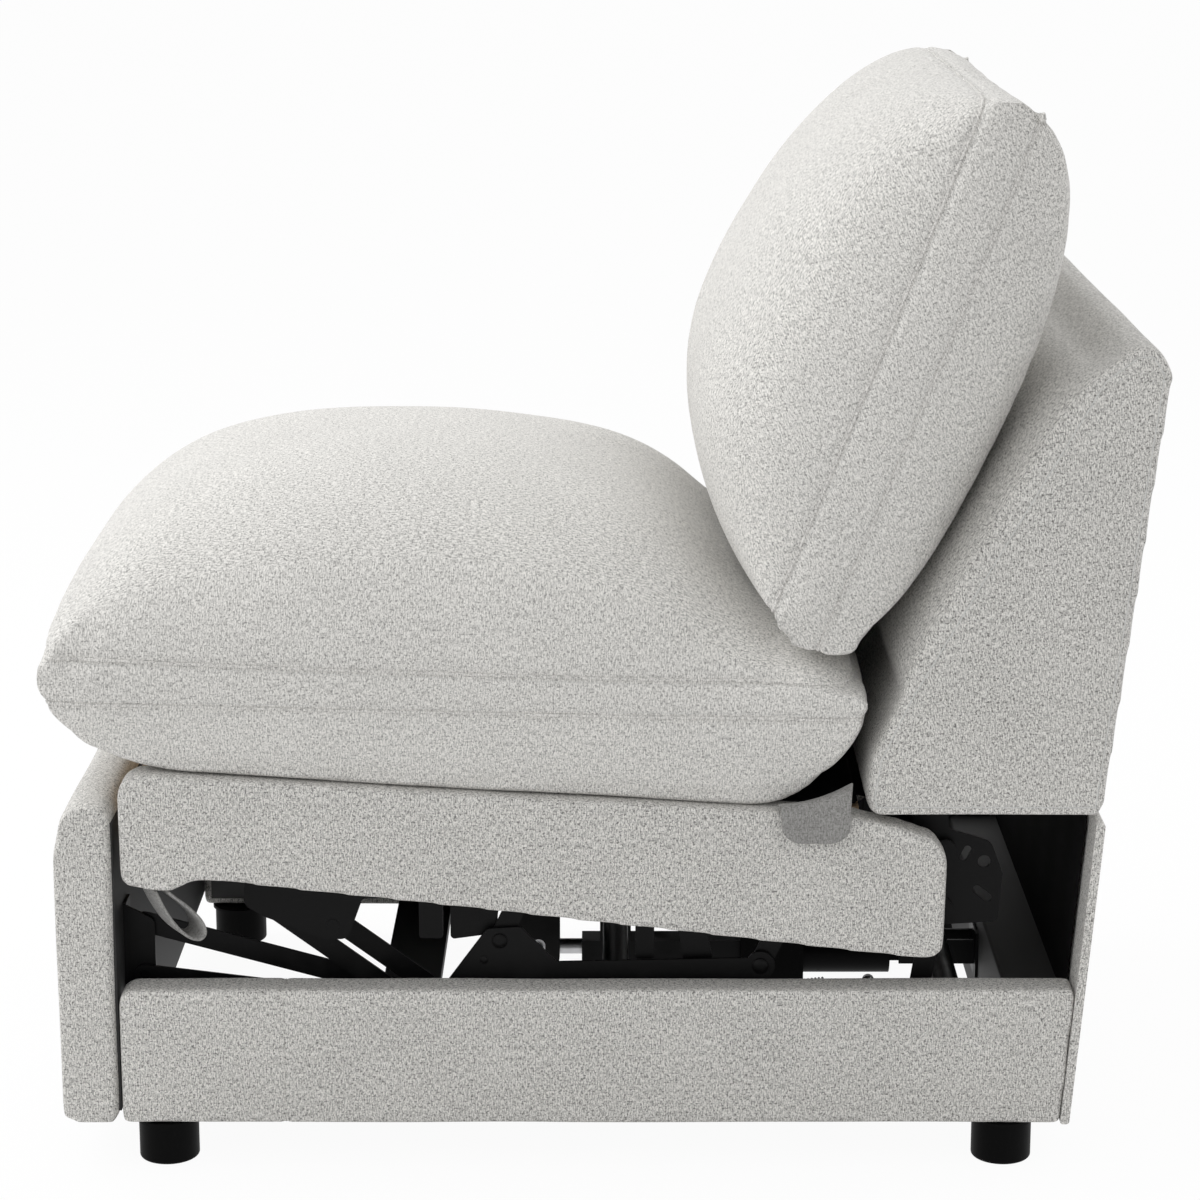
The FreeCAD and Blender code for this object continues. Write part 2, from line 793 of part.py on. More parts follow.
def make_drive():
    gear0, gear1 = gearbox_y
    z = drive_z
    width = gearbox_half_width
    gearbox = box(-width, width, gear0, gear1, z - gearbox_below, z + gearbox_above)
    ear_y = gear1 + motor_length
    motor = along_y(motor_radius, gear1, ear_y)
    ear = box(-motor_ear_half, motor_ear_half, ear_y, ear_y + motor_ear_length,
              z - rail_half_height, z + rail_half_height)
    pin_point = (ear_y + motor_pin_setback, z)
    socket_foot = V(0, gear0 + socket_setback, z - gearbox_below - socket_drop)
    socket = Part.makeCylinder(socket_radius, socket_drop, socket_foot)
    socket = socket.cut(Part.makeCylinder(socket_bore, socket_depth, socket_foot))
    housing = fused(gearbox, motor, ear)
    housing = fused(housing, socket)
    parts["drive_motor"] = drilled(housing, (pin_point,), stud_radius + open_clearance)

    width = rail_half_width
    rail = box(-width, width, rail_front_y, gear0, z - rail_half_height, z + rail_half_height)
    tail_y = rod_end_y + rod_travel + rod_tail
    rail = rail.cut(along_y(rod_radius + running_clearance, rail_front_y - cut_past,
                            tail_y + rail_bore_play))
    width = saddle_half_width
    saddle_y = base_front_tube[0]
    saddle = box(-width, width, saddle_y - saddle_half_length, saddle_y + saddle_half_length,
                 z + rail_half_height, base_front_tube[1])
    saddle = saddle.cut(rod(base_front_tube, tube_radius, -far_x, far_x))
    parts["drive_rail"] = fused(rail, saddle)

    end = (rod_end_y, z)
    shaft = along_y(rod_radius, rod_end_y + 0.6 * rod_head_radius, tail_y)
    head = rod(end, rod_head_radius, -rod_head_half, rod_head_half)
    cross_pin = rod(end, stud_radius, -2.0 * rod_head_half, 2.0 * rod_head_half)
    parts["drive_rod"] = fused(shaft, head, cross_pin)

    cheek_front = ear_y + motor_pin_setback / 2.0
    bracket = box(-bracket_half_width, bracket_half_width,
                  rear_rail_front_y - plate_thickness, rear_rail_front_y,
                  z - bracket_half_height, z + bracket_half_height)
    cheek_x = motor_ear_half + layer_gap
    cheek = box(cheek_x, cheek_x + plate_thickness, cheek_front, rear_rail_front_y,
                z - bracket_cheek_half, z + bracket_cheek_half)
    pin_reach = cheek_x + plate_thickness + layer_gap
    pin = rod(pin_point, stud_radius, -pin_reach, pin_reach)
    parts["drive_bracket"] = fused(bracket, cheek, other_side(cheek), pin)

    slot = strap((rod_end_y, z - yoke_slot_rise), (rod_end_y, z + yoke_slot_fall),
                 stud_radius + yoke_slot_play, -far_x, far_x)
    cheek = strap((rod_end_y, z - yoke_slot_rise / 2.0), seat_tube, yoke_half_width,
                  yoke_inner_x, yoke_inner_x + yoke_thickness)
    cheek = cheek.cut(slot)
    cheek = cheek.cut(rod(seat_tube, tube_radius, -far_x, far_x))
    web = box(-yoke_inner_x, yoke_inner_x, rod_end_y - plate_thickness,
              rod_end_y + plate_thickness, z + yoke_web_z, seat_tube[1] - tube_radius - cut_past)
    parts["drive_yoke"] = fused(cheek, other_side(cheek), web)


# Back links and perforated brackets

def make_back_links():
    u = back_link_base
    h = back_pivot
    v = shifted(h, 0.0, back_pin_rise)
    outer, inner = lift_layer
    link = strap(u, v, link_half_width, outer, inner)
    link = drilled(link, (u,), stud_radius + running_clearance)
    knob = rod(shifted(u, *back_knob_offset), back_knob_radius, inner - back_knob_length, inner)
    link = fused(link, rod(v, stud_radius, outer, keeper_layer[1] - stud_past), knob)
    pair("back_link", link)

    outer, inner = keeper_layer
    outline = [
        (h[0] - 16.0, h[1] - 2.0, 14.0),
        (h[0] + 2.0, h[1] - 17.0, 12.0),
        (h[0] + 52.0, h[1] - 14.0, 6.0),
        (h[0] + 56.0, h[1] + 34.0, 6.0),
        (h[0] + 44.0, h[1] + 66.0, 12.0),
        (h[0] + 4.0, h[1] + 78.0, 6.0),
        (h[0] - 2.0, h[1] + 165.0, 8.0),
        (h[0] - 40.0, h[1] + 165.0, 8.0),
        (h[0] - 38.0, h[1] + 108.0, 12.0),
        (h[0] - 19.0, h[1] + 66.0, 12.0),
    ]
    plate = prism(outline, outer, inner)
    slot_radius = stud_radius + back_pin_side
    slot = strap(v, shifted(v, 0.9, -back_pin_drop), slot_radius, -far_x, far_x)
    plate = plate.cut(slot)
    plate = drilled(plate, (h,), stud_radius + running_clearance)
    plate = drilled(plate, (shifted(h, 38.0, 46.0),), 6.0)
    for low, high, half in (((42.0, 10.0), (32.0, 18.0), 4.0), ((18.0, 50.0), (22.0, 58.0), 3.5)):
        plate = plate.cut(strap(shifted(h, *low), shifted(h, *high), half, -far_x, far_x))
    pad = box(outer, side_face_x - back_side_thickness, h[0] - 34.0, h[0] - 10.0,
              h[1] + 118.0, h[1] + 158.0)
    pair("back_bracket", fused(plate, pad))


# Back frame

def back_side_outline():
    front = back_front_line
    return [
        (blend(back_nose[0], front[0][0], 0.6), back_foot_z, 6.0),
        (back_rear_foot_y, back_foot_z, 6.0),
        (back_rear_top[0], back_rear_top[1], 16.0),
        (back_top_y[1], back_top, 12.0),
        (back_top_y[0], back_top, 14.0),
        (front[3][0], front[3][1], 16.0),
        (front[1][0], front[1][1], 40.0),
        (front[0][0], front[0][1], 20.0),
        (back_nose[0], back_nose[1], 10.0),
    ]


def make_back_frame():
    inner = side_face_x - back_side_thickness
    side = prism(back_side_outline(), inner, side_face_x)
    pair("back_side", softened(side, side_face_x, back_edge))
    lean_y = back_rear_top[0] - back_rear_foot_y
    lean_z = back_rear_top[1] - back_foot_z
    unit = back_panel_thickness / math.hypot(lean_y, lean_z)
    depth = (-lean_z * unit, lean_y * unit)
    foot = (back_rear_foot_y - back_panel_inset[0], back_foot_z + back_panel_inset[1])
    head_z = back_top - back_head_height - seat_gap - depth[1]
    head = (foot[0] + lean_y * (head_z - foot[1]) / lean_z, head_z)
    panel = [
        foot,
        head,
        shifted(head, *depth),
        shifted(foot, *depth),
    ]
    parts["back_outer_panel"] = prism(panel, -inner, inner)
    rear_y = foot[0] + depth[0] - seat_gap
    bottom_board = box(-inner, inner, rear_y - bottom_board_depth, rear_y,
                       foot[1], foot[1] + bottom_board_height)
    front = back_front_line
    low_z = back_top - back_head_height
    share = (low_z - back_foot_z) / (back_rear_top[1] - back_foot_z)
    rear_top_y = blend(back_rear_foot_y, back_rear_top[0], share)
    top = [
        (front[3][0], front[3][1], 16.0),
        (front[3][0] - 3.0, front[3][1] - 5.0),
        (front[3][0] + 4.0, low_z),
        (rear_top_y - 1.0, low_z),
        (back_rear_top[0] - 1.0, back_rear_top[1], 15.0),
        (back_top_y[1] - 1.0, back_top - 1.0, 11.0),
        (back_top_y[0], back_top - 1.0, 14.0),
    ]
    parts["back_head_board"] = prism(top, -inner, inner)
    near = front[0][0] + 1.0
    apron = [
        (near, foot[1] - 1.0),
        (near + apron_thickness, foot[1] - 1.0),
        (near + apron_thickness, front[0][1]),
        (front[1][0] + 1.0 + apron_thickness, front[1][1] - 2.0),
        (front[1][0] + 1.0, front[1][1] - 2.0),
        (near, front[0][1], 12.0),
    ]
    parts["back_bottom_boards"] = Part.makeCompound([bottom_board, prism(apron, -inner, inner)])


# The back pad fills the front of the back frame and bulges toward the pillow

def back_pad_section(share, x):
    first = back_front_line[1]
    last = back_front_line[3]
    along = V(0, last[0] - first[0], last[1] - first[1])
    length = along.Length
    along.normalize()
    out = V(0, -along.z, along.y)
    crown = pad_edge + (pad_crown - pad_edge) * math.sqrt(1.0 - share ** 3)
    origin = V(x, first[0], first[1])
    front = []
    for i in range(pad_arc_points + 1):
        part = i / pad_arc_points
        rise = math.sqrt(max(0.0, 1.0 - abs(2.0 * part - 1.0) ** 4))
        depth = seat_gap + blend(pad_edge_front, crown, rise)
        front.append(origin + along * (length * part) + out * depth)
    back = []
    for part in (0.5 + pad_rear_share / 2.0, 0.5 - pad_rear_share / 2.0):
        back.append(origin + along * (length * part) + out * seat_gap)
    return front, back


def make_back_pad():
    wires = []
    shares = [-s for s in reversed(pad_stations[1:])] + list(pad_stations)
    for share in shares:
        front, back = back_pad_section(abs(share), share * side_face_x)
        edges = []
        for i in range(0, len(front) - 1, 2):
            edges.append(Part.Arc(front[i], front[i + 1], front[i + 2]).toShape())
        edges.append(Part.makeLine(front[-1], back[0]))
        edges.append(Part.makeLine(back[0], back[1]))
        edges.append(Part.makeLine(back[1], front[0]))
        wires.append(Part.Wire(edges))
    parts["back_pad"] = Part.makeLoft(wires, True, True)


# Seat cushion: crown on top, flat underside, side bands between two seams

def seam_height(y, upper):
    share = (y - seam_front_y) / (seam_rear_y - seam_front_y)
    front, rear = upper_seam_z if upper else lower_seam_z
    return blend(front, rear, share)


def seat_section(share, x):
    """Points of the cushion's section, drawn in to the seams at the sides."""
    top = (1.0 - share ** 3.2) ** 0.6
    under = (1.0 - share ** seat_under_power) ** 0.5
    plan = 1.0 - seat_plan_draw * share ** 6
    nose = 0
    tail = 14
    points = []
    for i, (y, z) in enumerate(seat_middle):
        if z == 0.0:
            z = deck(y) + soft_gap
        here = seat_plan_y + (y - seat_plan_y) * plan
        upper = nose < i < tail
        full = top if i <= tail else under
        belt = (seam_height(here, True) + seam_height(here, False)) / 2.0
        if i in (nose, tail):
            side = belt
        elif i in (nose + 1, tail - 1, tail + 1, len(seat_middle) - 1):
            side = blend(belt, seam_height(here, upper), 0.75)
        else:
            side = seam_height(here, upper)
        points.append(V(x, here, blend(side, z, full)))
    return points


# Back pillow: thick crown to the front, less to the rear, narrow side bands

def pillow_section(share, x):
    front_crown = (1.0 - share ** 3.6) ** 0.55
    rear_crown = (1.0 - share ** 10) ** 0.5
    lean = math.radians(pillow_lean)
    points = []
    for height, middle, side in pillow_profile:
        depth = blend(side, middle, rear_crown if middle > side else front_crown)
        if height < pillow_droop_below:
            height -= pillow_droop * share ** 6
        y = pillow_foot[0] + height * math.sin(lean) + depth * math.cos(lean)
        z = pillow_foot[1] + height * math.cos(lean) - depth * math.sin(lean)
        points.append(V(x, y, z))
    return points


def make_cushions():
    parts["seat_cushion"] = cushion(seat_cushion_half, seat_stations, seat_section, True)
    parts["back_pillow"] = cushion(pillow_half, pillow_stations, pillow_section, False)


# Fabric tabs that hang at the seat rail, one loop in front and one flap at the rear

def make_tabs():
    top = seat_rail_toe[0][1]
    strap_y = seat_rail_toe[0][0]
    loop = [
        (strap_y - 19.0, top - 0.6, 3.0),
        (strap_y + 11.0, top + 0.4, 3.0),
        (strap_y + 35.0, top - 30.0, 8.0),
        (strap_y + 34.0, top - 44.0, 4.0),
        (strap_y + 25.0, top - 48.0, 4.0),
        (strap_y + 5.0, top - 40.0, 10.0),
        (strap_y - 7.0, top - 20.0, 10.0),
    ]
    both("seat_straps", prism(loop, side_face_x - strap_inset - strap_width,
                              side_face_x - strap_inset))
    flap = [
        (170.0, 372.0, 3.0),
        (174.0, 332.0, 6.0),
        (186.0, 323.0, 8.0),
        (224.0, 323.0, 8.0),
        (240.0, 346.0, 12.0),
        (236.0, 372.0, 6.0),
    ]
    flap_x = side_face_x + seat_gap
    both("seat_flaps", prism(flap, flap_x, flap_x + flap_thickness))


# Tension springs: each one unbroken wire with a hook at either post

def arc_from(start, tangent, end):
    """Arc that leaves start along tangent and reaches end, with its end tangent."""
    chord = end - start
    half = chord.Length / 2.0
    unit = V(chord).normalize()
    side = tangent - unit * tangent.dot(unit)
    if side.Length < 1e-9:
        return Part.makeLine(start, end), V(tangent)
    angle = tangent.getAngle(unit)
    bulge = (start + end) * 0.5 + V(side).normalize() * (half * math.tan(angle / 2.0))
    leaving = unit * (2.0 * tangent.dot(unit)) - tangent
    return Part.Arc(start, bulge, end).toShape(), leaving


def biarc(start, first, end, last):
    """Two arcs from start to end with the given tangents."""
    span = end - start
    total = first + last
    along = span.dot(total)
    factor = 2.0 * (1.0 - first.dot(last))
    if abs(factor) < 1e-9:
        reach = span.dot(span) / (2.0 * along)
    else:
        root = math.sqrt(along * along + factor * span.dot(span))
        reach = (root - along) / factor
    joint = (start + first * reach + end - last * reach) * 0.5
    one, middle = arc_from(start, first, joint)
    two, _ = arc_from(joint, middle, end)
    return [one, two]


def spring_path():
    """Points and tangents of the wire, from the first hook to the second, in its own frame."""
    first, second = (V(0, p[0], p[1]) for p in spring_posts)
    axis = V(second - first).normalize()
    up = V(0, -axis.z, axis.y)
    side = V(1, 0, 0)
    span = (second - first).Length
    hook = spring_post_radius + spring_wire_radius + spring_hook_play
    coil = spring_turns * spring_pitch
    lead = (span - coil) / 2.0
    knots = []
    # hook round the first post
    knots.append((first + axis * hook, up))
    knots.append((first + up * hook, -axis))
    knots.append((first - axis * hook, -up))
    knots.append((first - up * hook, axis))
    knots.append((first - up * spring_coil_radius + axis * (lead - 4.0), axis))
    turns = spring_turns * 4
    slope = spring_pitch / (2.0 * math.pi * spring_coil_radius)
    for i in range(turns + 1):
        angle = i * math.pi / 2.0
        ring = up * (-math.cos(angle)) + side * math.sin(angle)
        tangent = up * math.sin(angle) + side * math.cos(angle) + axis * slope
        place = first + axis * (lead + coil * i / turns) + ring * spring_coil_radius
        knots.append((place, tangent.normalize()))
    knots.append((second - up * spring_coil_radius - axis * (lead - 4.0), axis))
    knots.append((second - up * hook, axis))
    knots.append((second + axis * hook, up))
    knots.append((second + up * hook, -axis))
    knots.append((second - axis * hook, -up))
    return knots


def make_springs():
    knots = spring_path()
    edges = []
    for (start, first), (end, last) in zip(knots, knots[1:]):
        edges += biarc(start, first, end, last)
    path = Part.Wire(edges)
    start, tangent = knots[0]
    circle = Part.Wire([Part.makeCircle(spring_wire_radius, start, tangent)])
    shell = Part.BRepOffsetAPI.MakePipeShell(path)
    shell.add(circle)
    shell.build()
    shell.makeSolid()
    spring = shell.shape()
    points = path.discretize(Distance=1.0)
    least = 1e9
    for i, point in enumerate(points):
        for j in range(i + 12, len(points)):
            least = min(least, (points[j] - point).Length)
    gap = least - 2.0 * spring_wire_radius
    section = math.pi * spring_wire_radius ** 2
    print("spring gap to itself %.2f, volume %.1f, section times length %.1f"
          % (gap, spring.Volume, section * path.Length))
    parts["tension_springs"] = Part.makeCompound([spring.translated(V(x, 0, 0))
                                                  for x in (-spring_x, spring_x)])


def export():
    os.makedirs("parts", exist_ok=True)
    for name, shape in parts.items():
        if not shape.isValid():
            print("not valid:", name)
        shape.exportStep("parts/" + name + ".step")
    total = Part.makeCompound(list(parts.values())).BoundBox
    print(len(parts), "pieces, box", total)


make_base()
make_base_plates()
make_lift_links()
make_seat_frame()
make_seat_plates()
make_footrest_links()
make_footrest()
make_drive()
make_back_links()
make_back_frame()
make_back_pad()
make_cushions()
make_tabs()
make_springs()
export()
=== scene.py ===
import logging
import math
from dataclasses import dataclass, field
from enum import Enum
from typing import Any, Callable, Iterable, Sequence

import bmesh
import bpy
import numpy as np
from mathutils import Matrix, Vector, noise
from mathutils.bvhtree import BVHTree


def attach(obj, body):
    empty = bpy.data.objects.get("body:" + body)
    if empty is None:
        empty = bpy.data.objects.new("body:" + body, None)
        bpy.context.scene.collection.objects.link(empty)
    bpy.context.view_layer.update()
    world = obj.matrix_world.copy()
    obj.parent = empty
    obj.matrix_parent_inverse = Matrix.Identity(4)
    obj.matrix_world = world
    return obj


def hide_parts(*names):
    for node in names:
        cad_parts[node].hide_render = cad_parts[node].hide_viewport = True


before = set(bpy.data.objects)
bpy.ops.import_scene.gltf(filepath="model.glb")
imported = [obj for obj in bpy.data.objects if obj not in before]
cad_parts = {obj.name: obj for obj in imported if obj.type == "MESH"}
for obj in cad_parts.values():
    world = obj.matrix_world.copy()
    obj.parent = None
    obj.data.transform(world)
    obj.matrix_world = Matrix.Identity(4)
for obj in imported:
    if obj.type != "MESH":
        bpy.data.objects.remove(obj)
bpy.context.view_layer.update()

# Armless recliner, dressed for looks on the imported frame.
# Lengths are metres; the chair faces -Y and +Z is up.

log = logging.getLogger("recliner")

Outline = list[tuple[float, ...]]
Point = tuple[float, float, float]

RAIL_VOXEL = 0.005
SOFT_VOXEL = 0.006
FOLD_STEP = 0.003


# Shader trees

class Wire:
    """An output of a shader node that takes part in sums as a number does."""

    def __init__(self, shader: "Shader", socket: bpy.types.NodeSocket) -> None:
        """Holds an output and the tree that it belongs to."""
        self.shader = shader
        self.socket = socket

    def math(self, operation: str, *others: Any) -> "Wire":
        """Runs one Math node on this value.

        Args:
            operation: The Math node's operation.
            others: The further inputs, values or wires.

        Returns:
            The node's result.
        """
        return self.shader.node("ShaderNodeMath", {"operation": operation}, {
            i: value for i, value in enumerate((self, *others))})

    def __add__(self, other: Any) -> "Wire":
        """Sum."""
        return self.math("ADD", other)

    __radd__ = __add__

    def __mul__(self, other: Any) -> "Wire":
        """Product."""
        return self.math("MULTIPLY", other)

    __rmul__ = __mul__

    def __sub__(self, other: Any) -> "Wire":
        """Difference."""
        return self.math("SUBTRACT", other)

    def __rsub__(self, other: Any) -> "Wire":
        """Difference with this value taken away."""
        return self.shader.node("ShaderNodeMath", {"operation": "SUBTRACT"}, {0: other, 1: self})

    def __gt__(self, other: Any) -> "Wire":
        """One where this value is the larger."""
        return self.math("GREATER_THAN", other)

    def __abs__(self) -> "Wire":
        """Size without sign."""
        return self.math("ABSOLUTE")

    def sine(self) -> "Wire":
        """Sine of the value in radians."""
        return self.math("SINE")

    def ramp(self, low: float, high: float) -> "Wire":
        """Smooth step that runs from 0 at low to 1 at high."""
        return self.shader.node("ShaderNodeMapRange", {"interpolation_type": "SMOOTHSTEP"},
                                {"Value": self, "From Min": low, "From Max": high})


class Shader:
    """Material or world with a node tree that is written as expressions."""

    def __init__(self, name: str, world: bool = False) -> None:
        """Starts an empty tree.

        Args:
            name: Name of the material or world.
            world: Whether the tree is a world's.
        """
        self.owner = (bpy.data.worlds if world else bpy.data.materials).new(name)
        self.owner.use_nodes = True
        self.tree = self.owner.node_tree
        self.tree.nodes.clear()
        self.end = "ShaderNodeOutputWorld" if world else "ShaderNodeOutputMaterial"

    def node(self, kind: str, settings: dict[str, Any] | None = None,
             inputs: dict[Any, Any] | None = None, output: Any = 0) -> Wire:
        """Adds a node.

        Args:
            kind: The node's type name.
            settings: Properties, set first; "stops" fills a colour ramp.
            inputs: Values or wires by socket name or number.
            output: Name or number of the output that is wanted.

        Returns:
            That output.
        """
        node = self.tree.nodes.new(kind)
        for key, value in (settings or {}).items():
            if key == "stops":
                ramp = node.color_ramp
                while len(ramp.elements) < len(value):
                    ramp.elements.new(1.0)
                for element, (position, colour) in zip(ramp.elements, value):
                    element.position = position
                    element.color = (*colour, 1.0)
            else:
                setattr(node, key, value)
        for key, value in (inputs or {}).items():
            socket = node.inputs[key]
            if isinstance(value, Wire):
                self.tree.links.new(value.socket, socket)
            elif isinstance(value, tuple) and socket.type == "RGBA" and len(value) == 3:
                socket.default_value = (*value, 1.0)
            else:
                socket.default_value = value
        return Wire(self, node.outputs[output])

    def place(self) -> Wire:
        """The piece's own coordinates."""
        return self.node("ShaderNodeTexCoord", None, None, "Object")

    def split(self, vector: Wire) -> list[Wire]:
        """The three parts of a vector."""
        node = self.node("ShaderNodeSeparateXYZ", None, {0: vector}).socket.node
        return [Wire(self, output) for output in node.outputs]

    def join(self, u: Wire, v: Wire) -> Wire:
        """A flat vector from two parts."""
        return self.node("ShaderNodeCombineXYZ", None, {0: u, 1: v})

    def blend(self, share: Any, first: Any, second: Any) -> Wire:
        """Colour between first and second by share."""
        return self.node("ShaderNodeMix", {"data_type": "RGBA"},
                         {0: share, 6: first, 7: second}, output=2)

    def pick(self, share: Any, first: Any, second: Any) -> Wire:
        """Vector between first and second by share."""
        return self.node("ShaderNodeMix", {"data_type": "VECTOR"},
                         {0: share, 4: first, 5: second}, output=1)

    def noise(self, place: Wire, scale: float, detail: float = 2.0, output: str = "Fac") -> Wire:
        """Cloudy noise around one half."""
        return self.node("ShaderNodeTexNoise", None,
                         {"Vector": place, "Scale": scale, "Detail": detail}, output)

    def stretched(self, place: Wire, size: Point) -> Wire:
        """The place with each axis multiplied by its own factor."""
        return self.node("ShaderNodeMapping", None, {"Vector": place, "Scale": size})

    def bump(self, height: Wire, strength: float, distance: float) -> Wire:
        """Normal that is tilted by a height."""
        return self.node("ShaderNodeBump", None,
                         {"Height": height, "Strength": strength, "Distance": distance})

    def surface(self, inputs: dict[str, Any]) -> bpy.types.Material:
        """Ends the tree in a Principled shader.

        Args:
            inputs: The shader's inputs by name.

        Returns:
            The material.
        """
        self.close(self.node("ShaderNodeBsdfPrincipled", None, inputs))
        return self.owner

    def close(self, closure: Wire) -> None:
        """Feeds the tree's output."""
        out = self.tree.nodes.new(self.end)
        self.tree.links.new(closure.socket, out.inputs["Surface"])


@dataclass(frozen=True)
class WovenCloth:
    """Heathered upholstery cloth with fine yarns and darker flecks."""

    name: str
    light: Point = (0.93, 0.912, 0.875)
    dark: Point = (0.17, 0.167, 0.160)
    yarn: float = 0.0015
    lean: float = 0.0
    relief: float = 0.24
    column_scale: float = 820.0
    grain_scale: float = 860.0
    fleck_scale: float = 560.0
    wander_scale: float = 85.0
    cloud_scale: float = 13.0
    column_share: float = 0.40
    grain_share: float = 0.34
    fleck_share: float = 0.55
    cloud_share: float = 0.14

    def material(self) -> bpy.types.Material:
        """Builds the cloth, laid flat on whichever side a face looks to."""
        s = Shader(self.name)
        place = s.place()
        facing = s.node("ShaderNodeVectorTransform",
                        {"vector_type": "NORMAL", "convert_from": "WORLD", "convert_to": "OBJECT"},
                        {"Vector": s.node("ShaderNodeNewGeometry", None, None, "Normal")})
        if self.lean:
            turn = (self.lean, 0.0, 0.0)
            place = s.node("ShaderNodeMapping", None, {"Vector": place, "Rotation": turn})
            facing = s.node("ShaderNodeMapping", None, {"Vector": facing, "Rotation": turn})
        x, y, z = s.split(place)
        nx, ny, nz = (abs(part) for part in s.split(facing))
        upright = (nx > ny) * (nx > nz)
        level = nz > ny
        side = s.join(y, z)
        top = s.join(x, y)
        front = s.join(x, z)
        flat = s.pick(upright, s.pick(level, front, top), side)

        wander = s.noise(flat, self.wander_scale, 1.0)
        u, v, _ = s.split(flat)
        turn = 2.0 * math.pi / self.yarn
        warp = (u * turn + wander * 9.0).sine()
        weft = (v * (turn * 0.86) + wander * 7.0).sine()
        weave = warp * 0.3 + weft * 0.3 + (warp * weft) * 0.4

        columns = s.noise(s.stretched(flat, (1.0, 0.22, 1.0)), self.column_scale, 1.0)
        grain = s.noise(s.stretched(flat, (1.0, 0.6, 1.0)), self.grain_scale, 1.0)
        flecks = s.noise(s.stretched(flat, (0.7, 1.0, 1.0)), self.fleck_scale, 1.0)
        clouds = s.noise(flat, self.cloud_scale, 3.0)
        shade = (columns.ramp(0.42, 0.60) * self.column_share
                 + grain.ramp(0.42, 0.60) * self.grain_share
                 + flecks.ramp(0.58, 0.66) * self.fleck_share
                 + (clouds - 0.5) * self.cloud_share - weave * 0.05)
        colour = s.blend(shade, self.light, self.dark)
        height = weave * 0.35 + grain * 0.9 + columns * 0.5
        return s.surface({
            "Base Color": colour,
            "Roughness": 0.94,
            "Specular IOR Level": 0.18,
            "Sheen Weight": 0.12,
            "Sheen Roughness": 0.5,
            "Normal": s.bump(height, self.relief, 0.0006),
        })


@dataclass(frozen=True)
class PaintedSteel:
    """Black satin paint on pressed steel, dusty in patches and rubbed in thin lines."""

    name: str = "black_paint"
    colour: Point = (0.0036, 0.0036, 0.0038)
    dust: Point = (0.011, 0.0108, 0.0105)

    def material(self) -> bpy.types.Material:
        """Builds the paint."""
        s = Shader(self.name)
        place = s.place()
        patches = s.noise(place, 26.0, 4.0).ramp(0.48, 0.72)
        lines = s.noise(s.stretched(place, (1.0, 0.05, 1.0)), 900.0, 1.0).ramp(0.66, 0.74)
        orange_peel = s.noise(place, 700.0, 2.0)
        colour = s.blend(patches * 0.35 + lines * 0.30, self.colour, self.dust)
        return s.surface({
            "Base Color": colour,
            "Roughness": patches * 0.18 + 0.40,
            "Specular IOR Level": 0.13,
            "Normal": s.bump(orange_peel, 0.25, 0.0003),
        })


@dataclass(frozen=True)
class DrawnSteel:
    """Bare steel wire or turned rod with fine lines along or round it."""

    name: str
    colour: Point = (0.52, 0.52, 0.53)
    grain: Point = (1.0, 0.03, 1.0)
    roughness: float = 0.28

    def material(self) -> bpy.types.Material:
        """Builds the metal."""
        s = Shader(self.name)
        place = s.place()
        lines = s.noise(s.stretched(place, self.grain), 2600.0, 2.0)
        stain = s.noise(place, 45.0, 3.0).ramp(0.45, 0.8)
        dull = tuple(part * 0.55 for part in self.colour)
        return s.surface({
            "Base Color": s.blend(stain * 0.6, self.colour, dull),
            "Metallic": 1.0,
            "Roughness": lines * 0.2 + self.roughness,
            "Normal": s.bump(lines, 0.12, 0.0002),
        })


@dataclass(frozen=True)
class MouldedPlastic:
    """Black moulded plastic with a fine grain and a few scuffs."""

    name: str = "moulded_black"
    colour: Point = (0.0018, 0.0018, 0.0019)

    def material(self) -> bpy.types.Material:
        """Builds the plastic."""
        s = Shader(self.name)
        place = s.place()
        grain = s.node("ShaderNodeTexVoronoi", None, {"Vector": place, "Scale": 1500.0})
        scuff = s.noise(s.stretched(place, (1.0, 1.0, 0.2)), 240.0, 2.0).ramp(0.62, 0.8)
        return s.surface({
            "Base Color": s.blend(scuff * 0.4, self.colour, (0.006, 0.006, 0.006)),
            "Roughness": scuff * 0.15 + 0.48,
            "Specular IOR Level": 0.06,
            "Normal": s.bump(grain, 0.2, 0.0002),
        })


@dataclass(frozen=True)
class Plywood:
    """Rotary-cut plywood, bare or stained."""

    name: str
    light: Point = (0.60, 0.44, 0.27)
    dark: Point = (0.40, 0.26, 0.14)
    gloss: float = 0.4

    def material(self) -> bpy.types.Material:
        """Builds the board's veneer."""
        s = Shader(self.name)
        place = s.place()
        bend = s.noise(s.stretched(place, (0.5, 3.0, 3.0)), 2.2, 3.0)
        _, y, z = s.split(place)
        rings = ((y * 190.0 + z * 150.0) + bend * 26.0).sine().ramp(-0.9, 0.9)
        pores = s.noise(s.stretched(place, (0.05, 1.0, 1.0)), 1400.0, 1.0).ramp(0.55, 0.7)
        return s.surface({
            "Base Color": s.blend(rings * 0.5 + pores * 0.3, self.light, self.dark),
            "Roughness": pores * 0.1 + 0.62,
            "Specular IOR Level": self.gloss,
            "Normal": s.bump(pores, 0.3, 0.0003),
        })


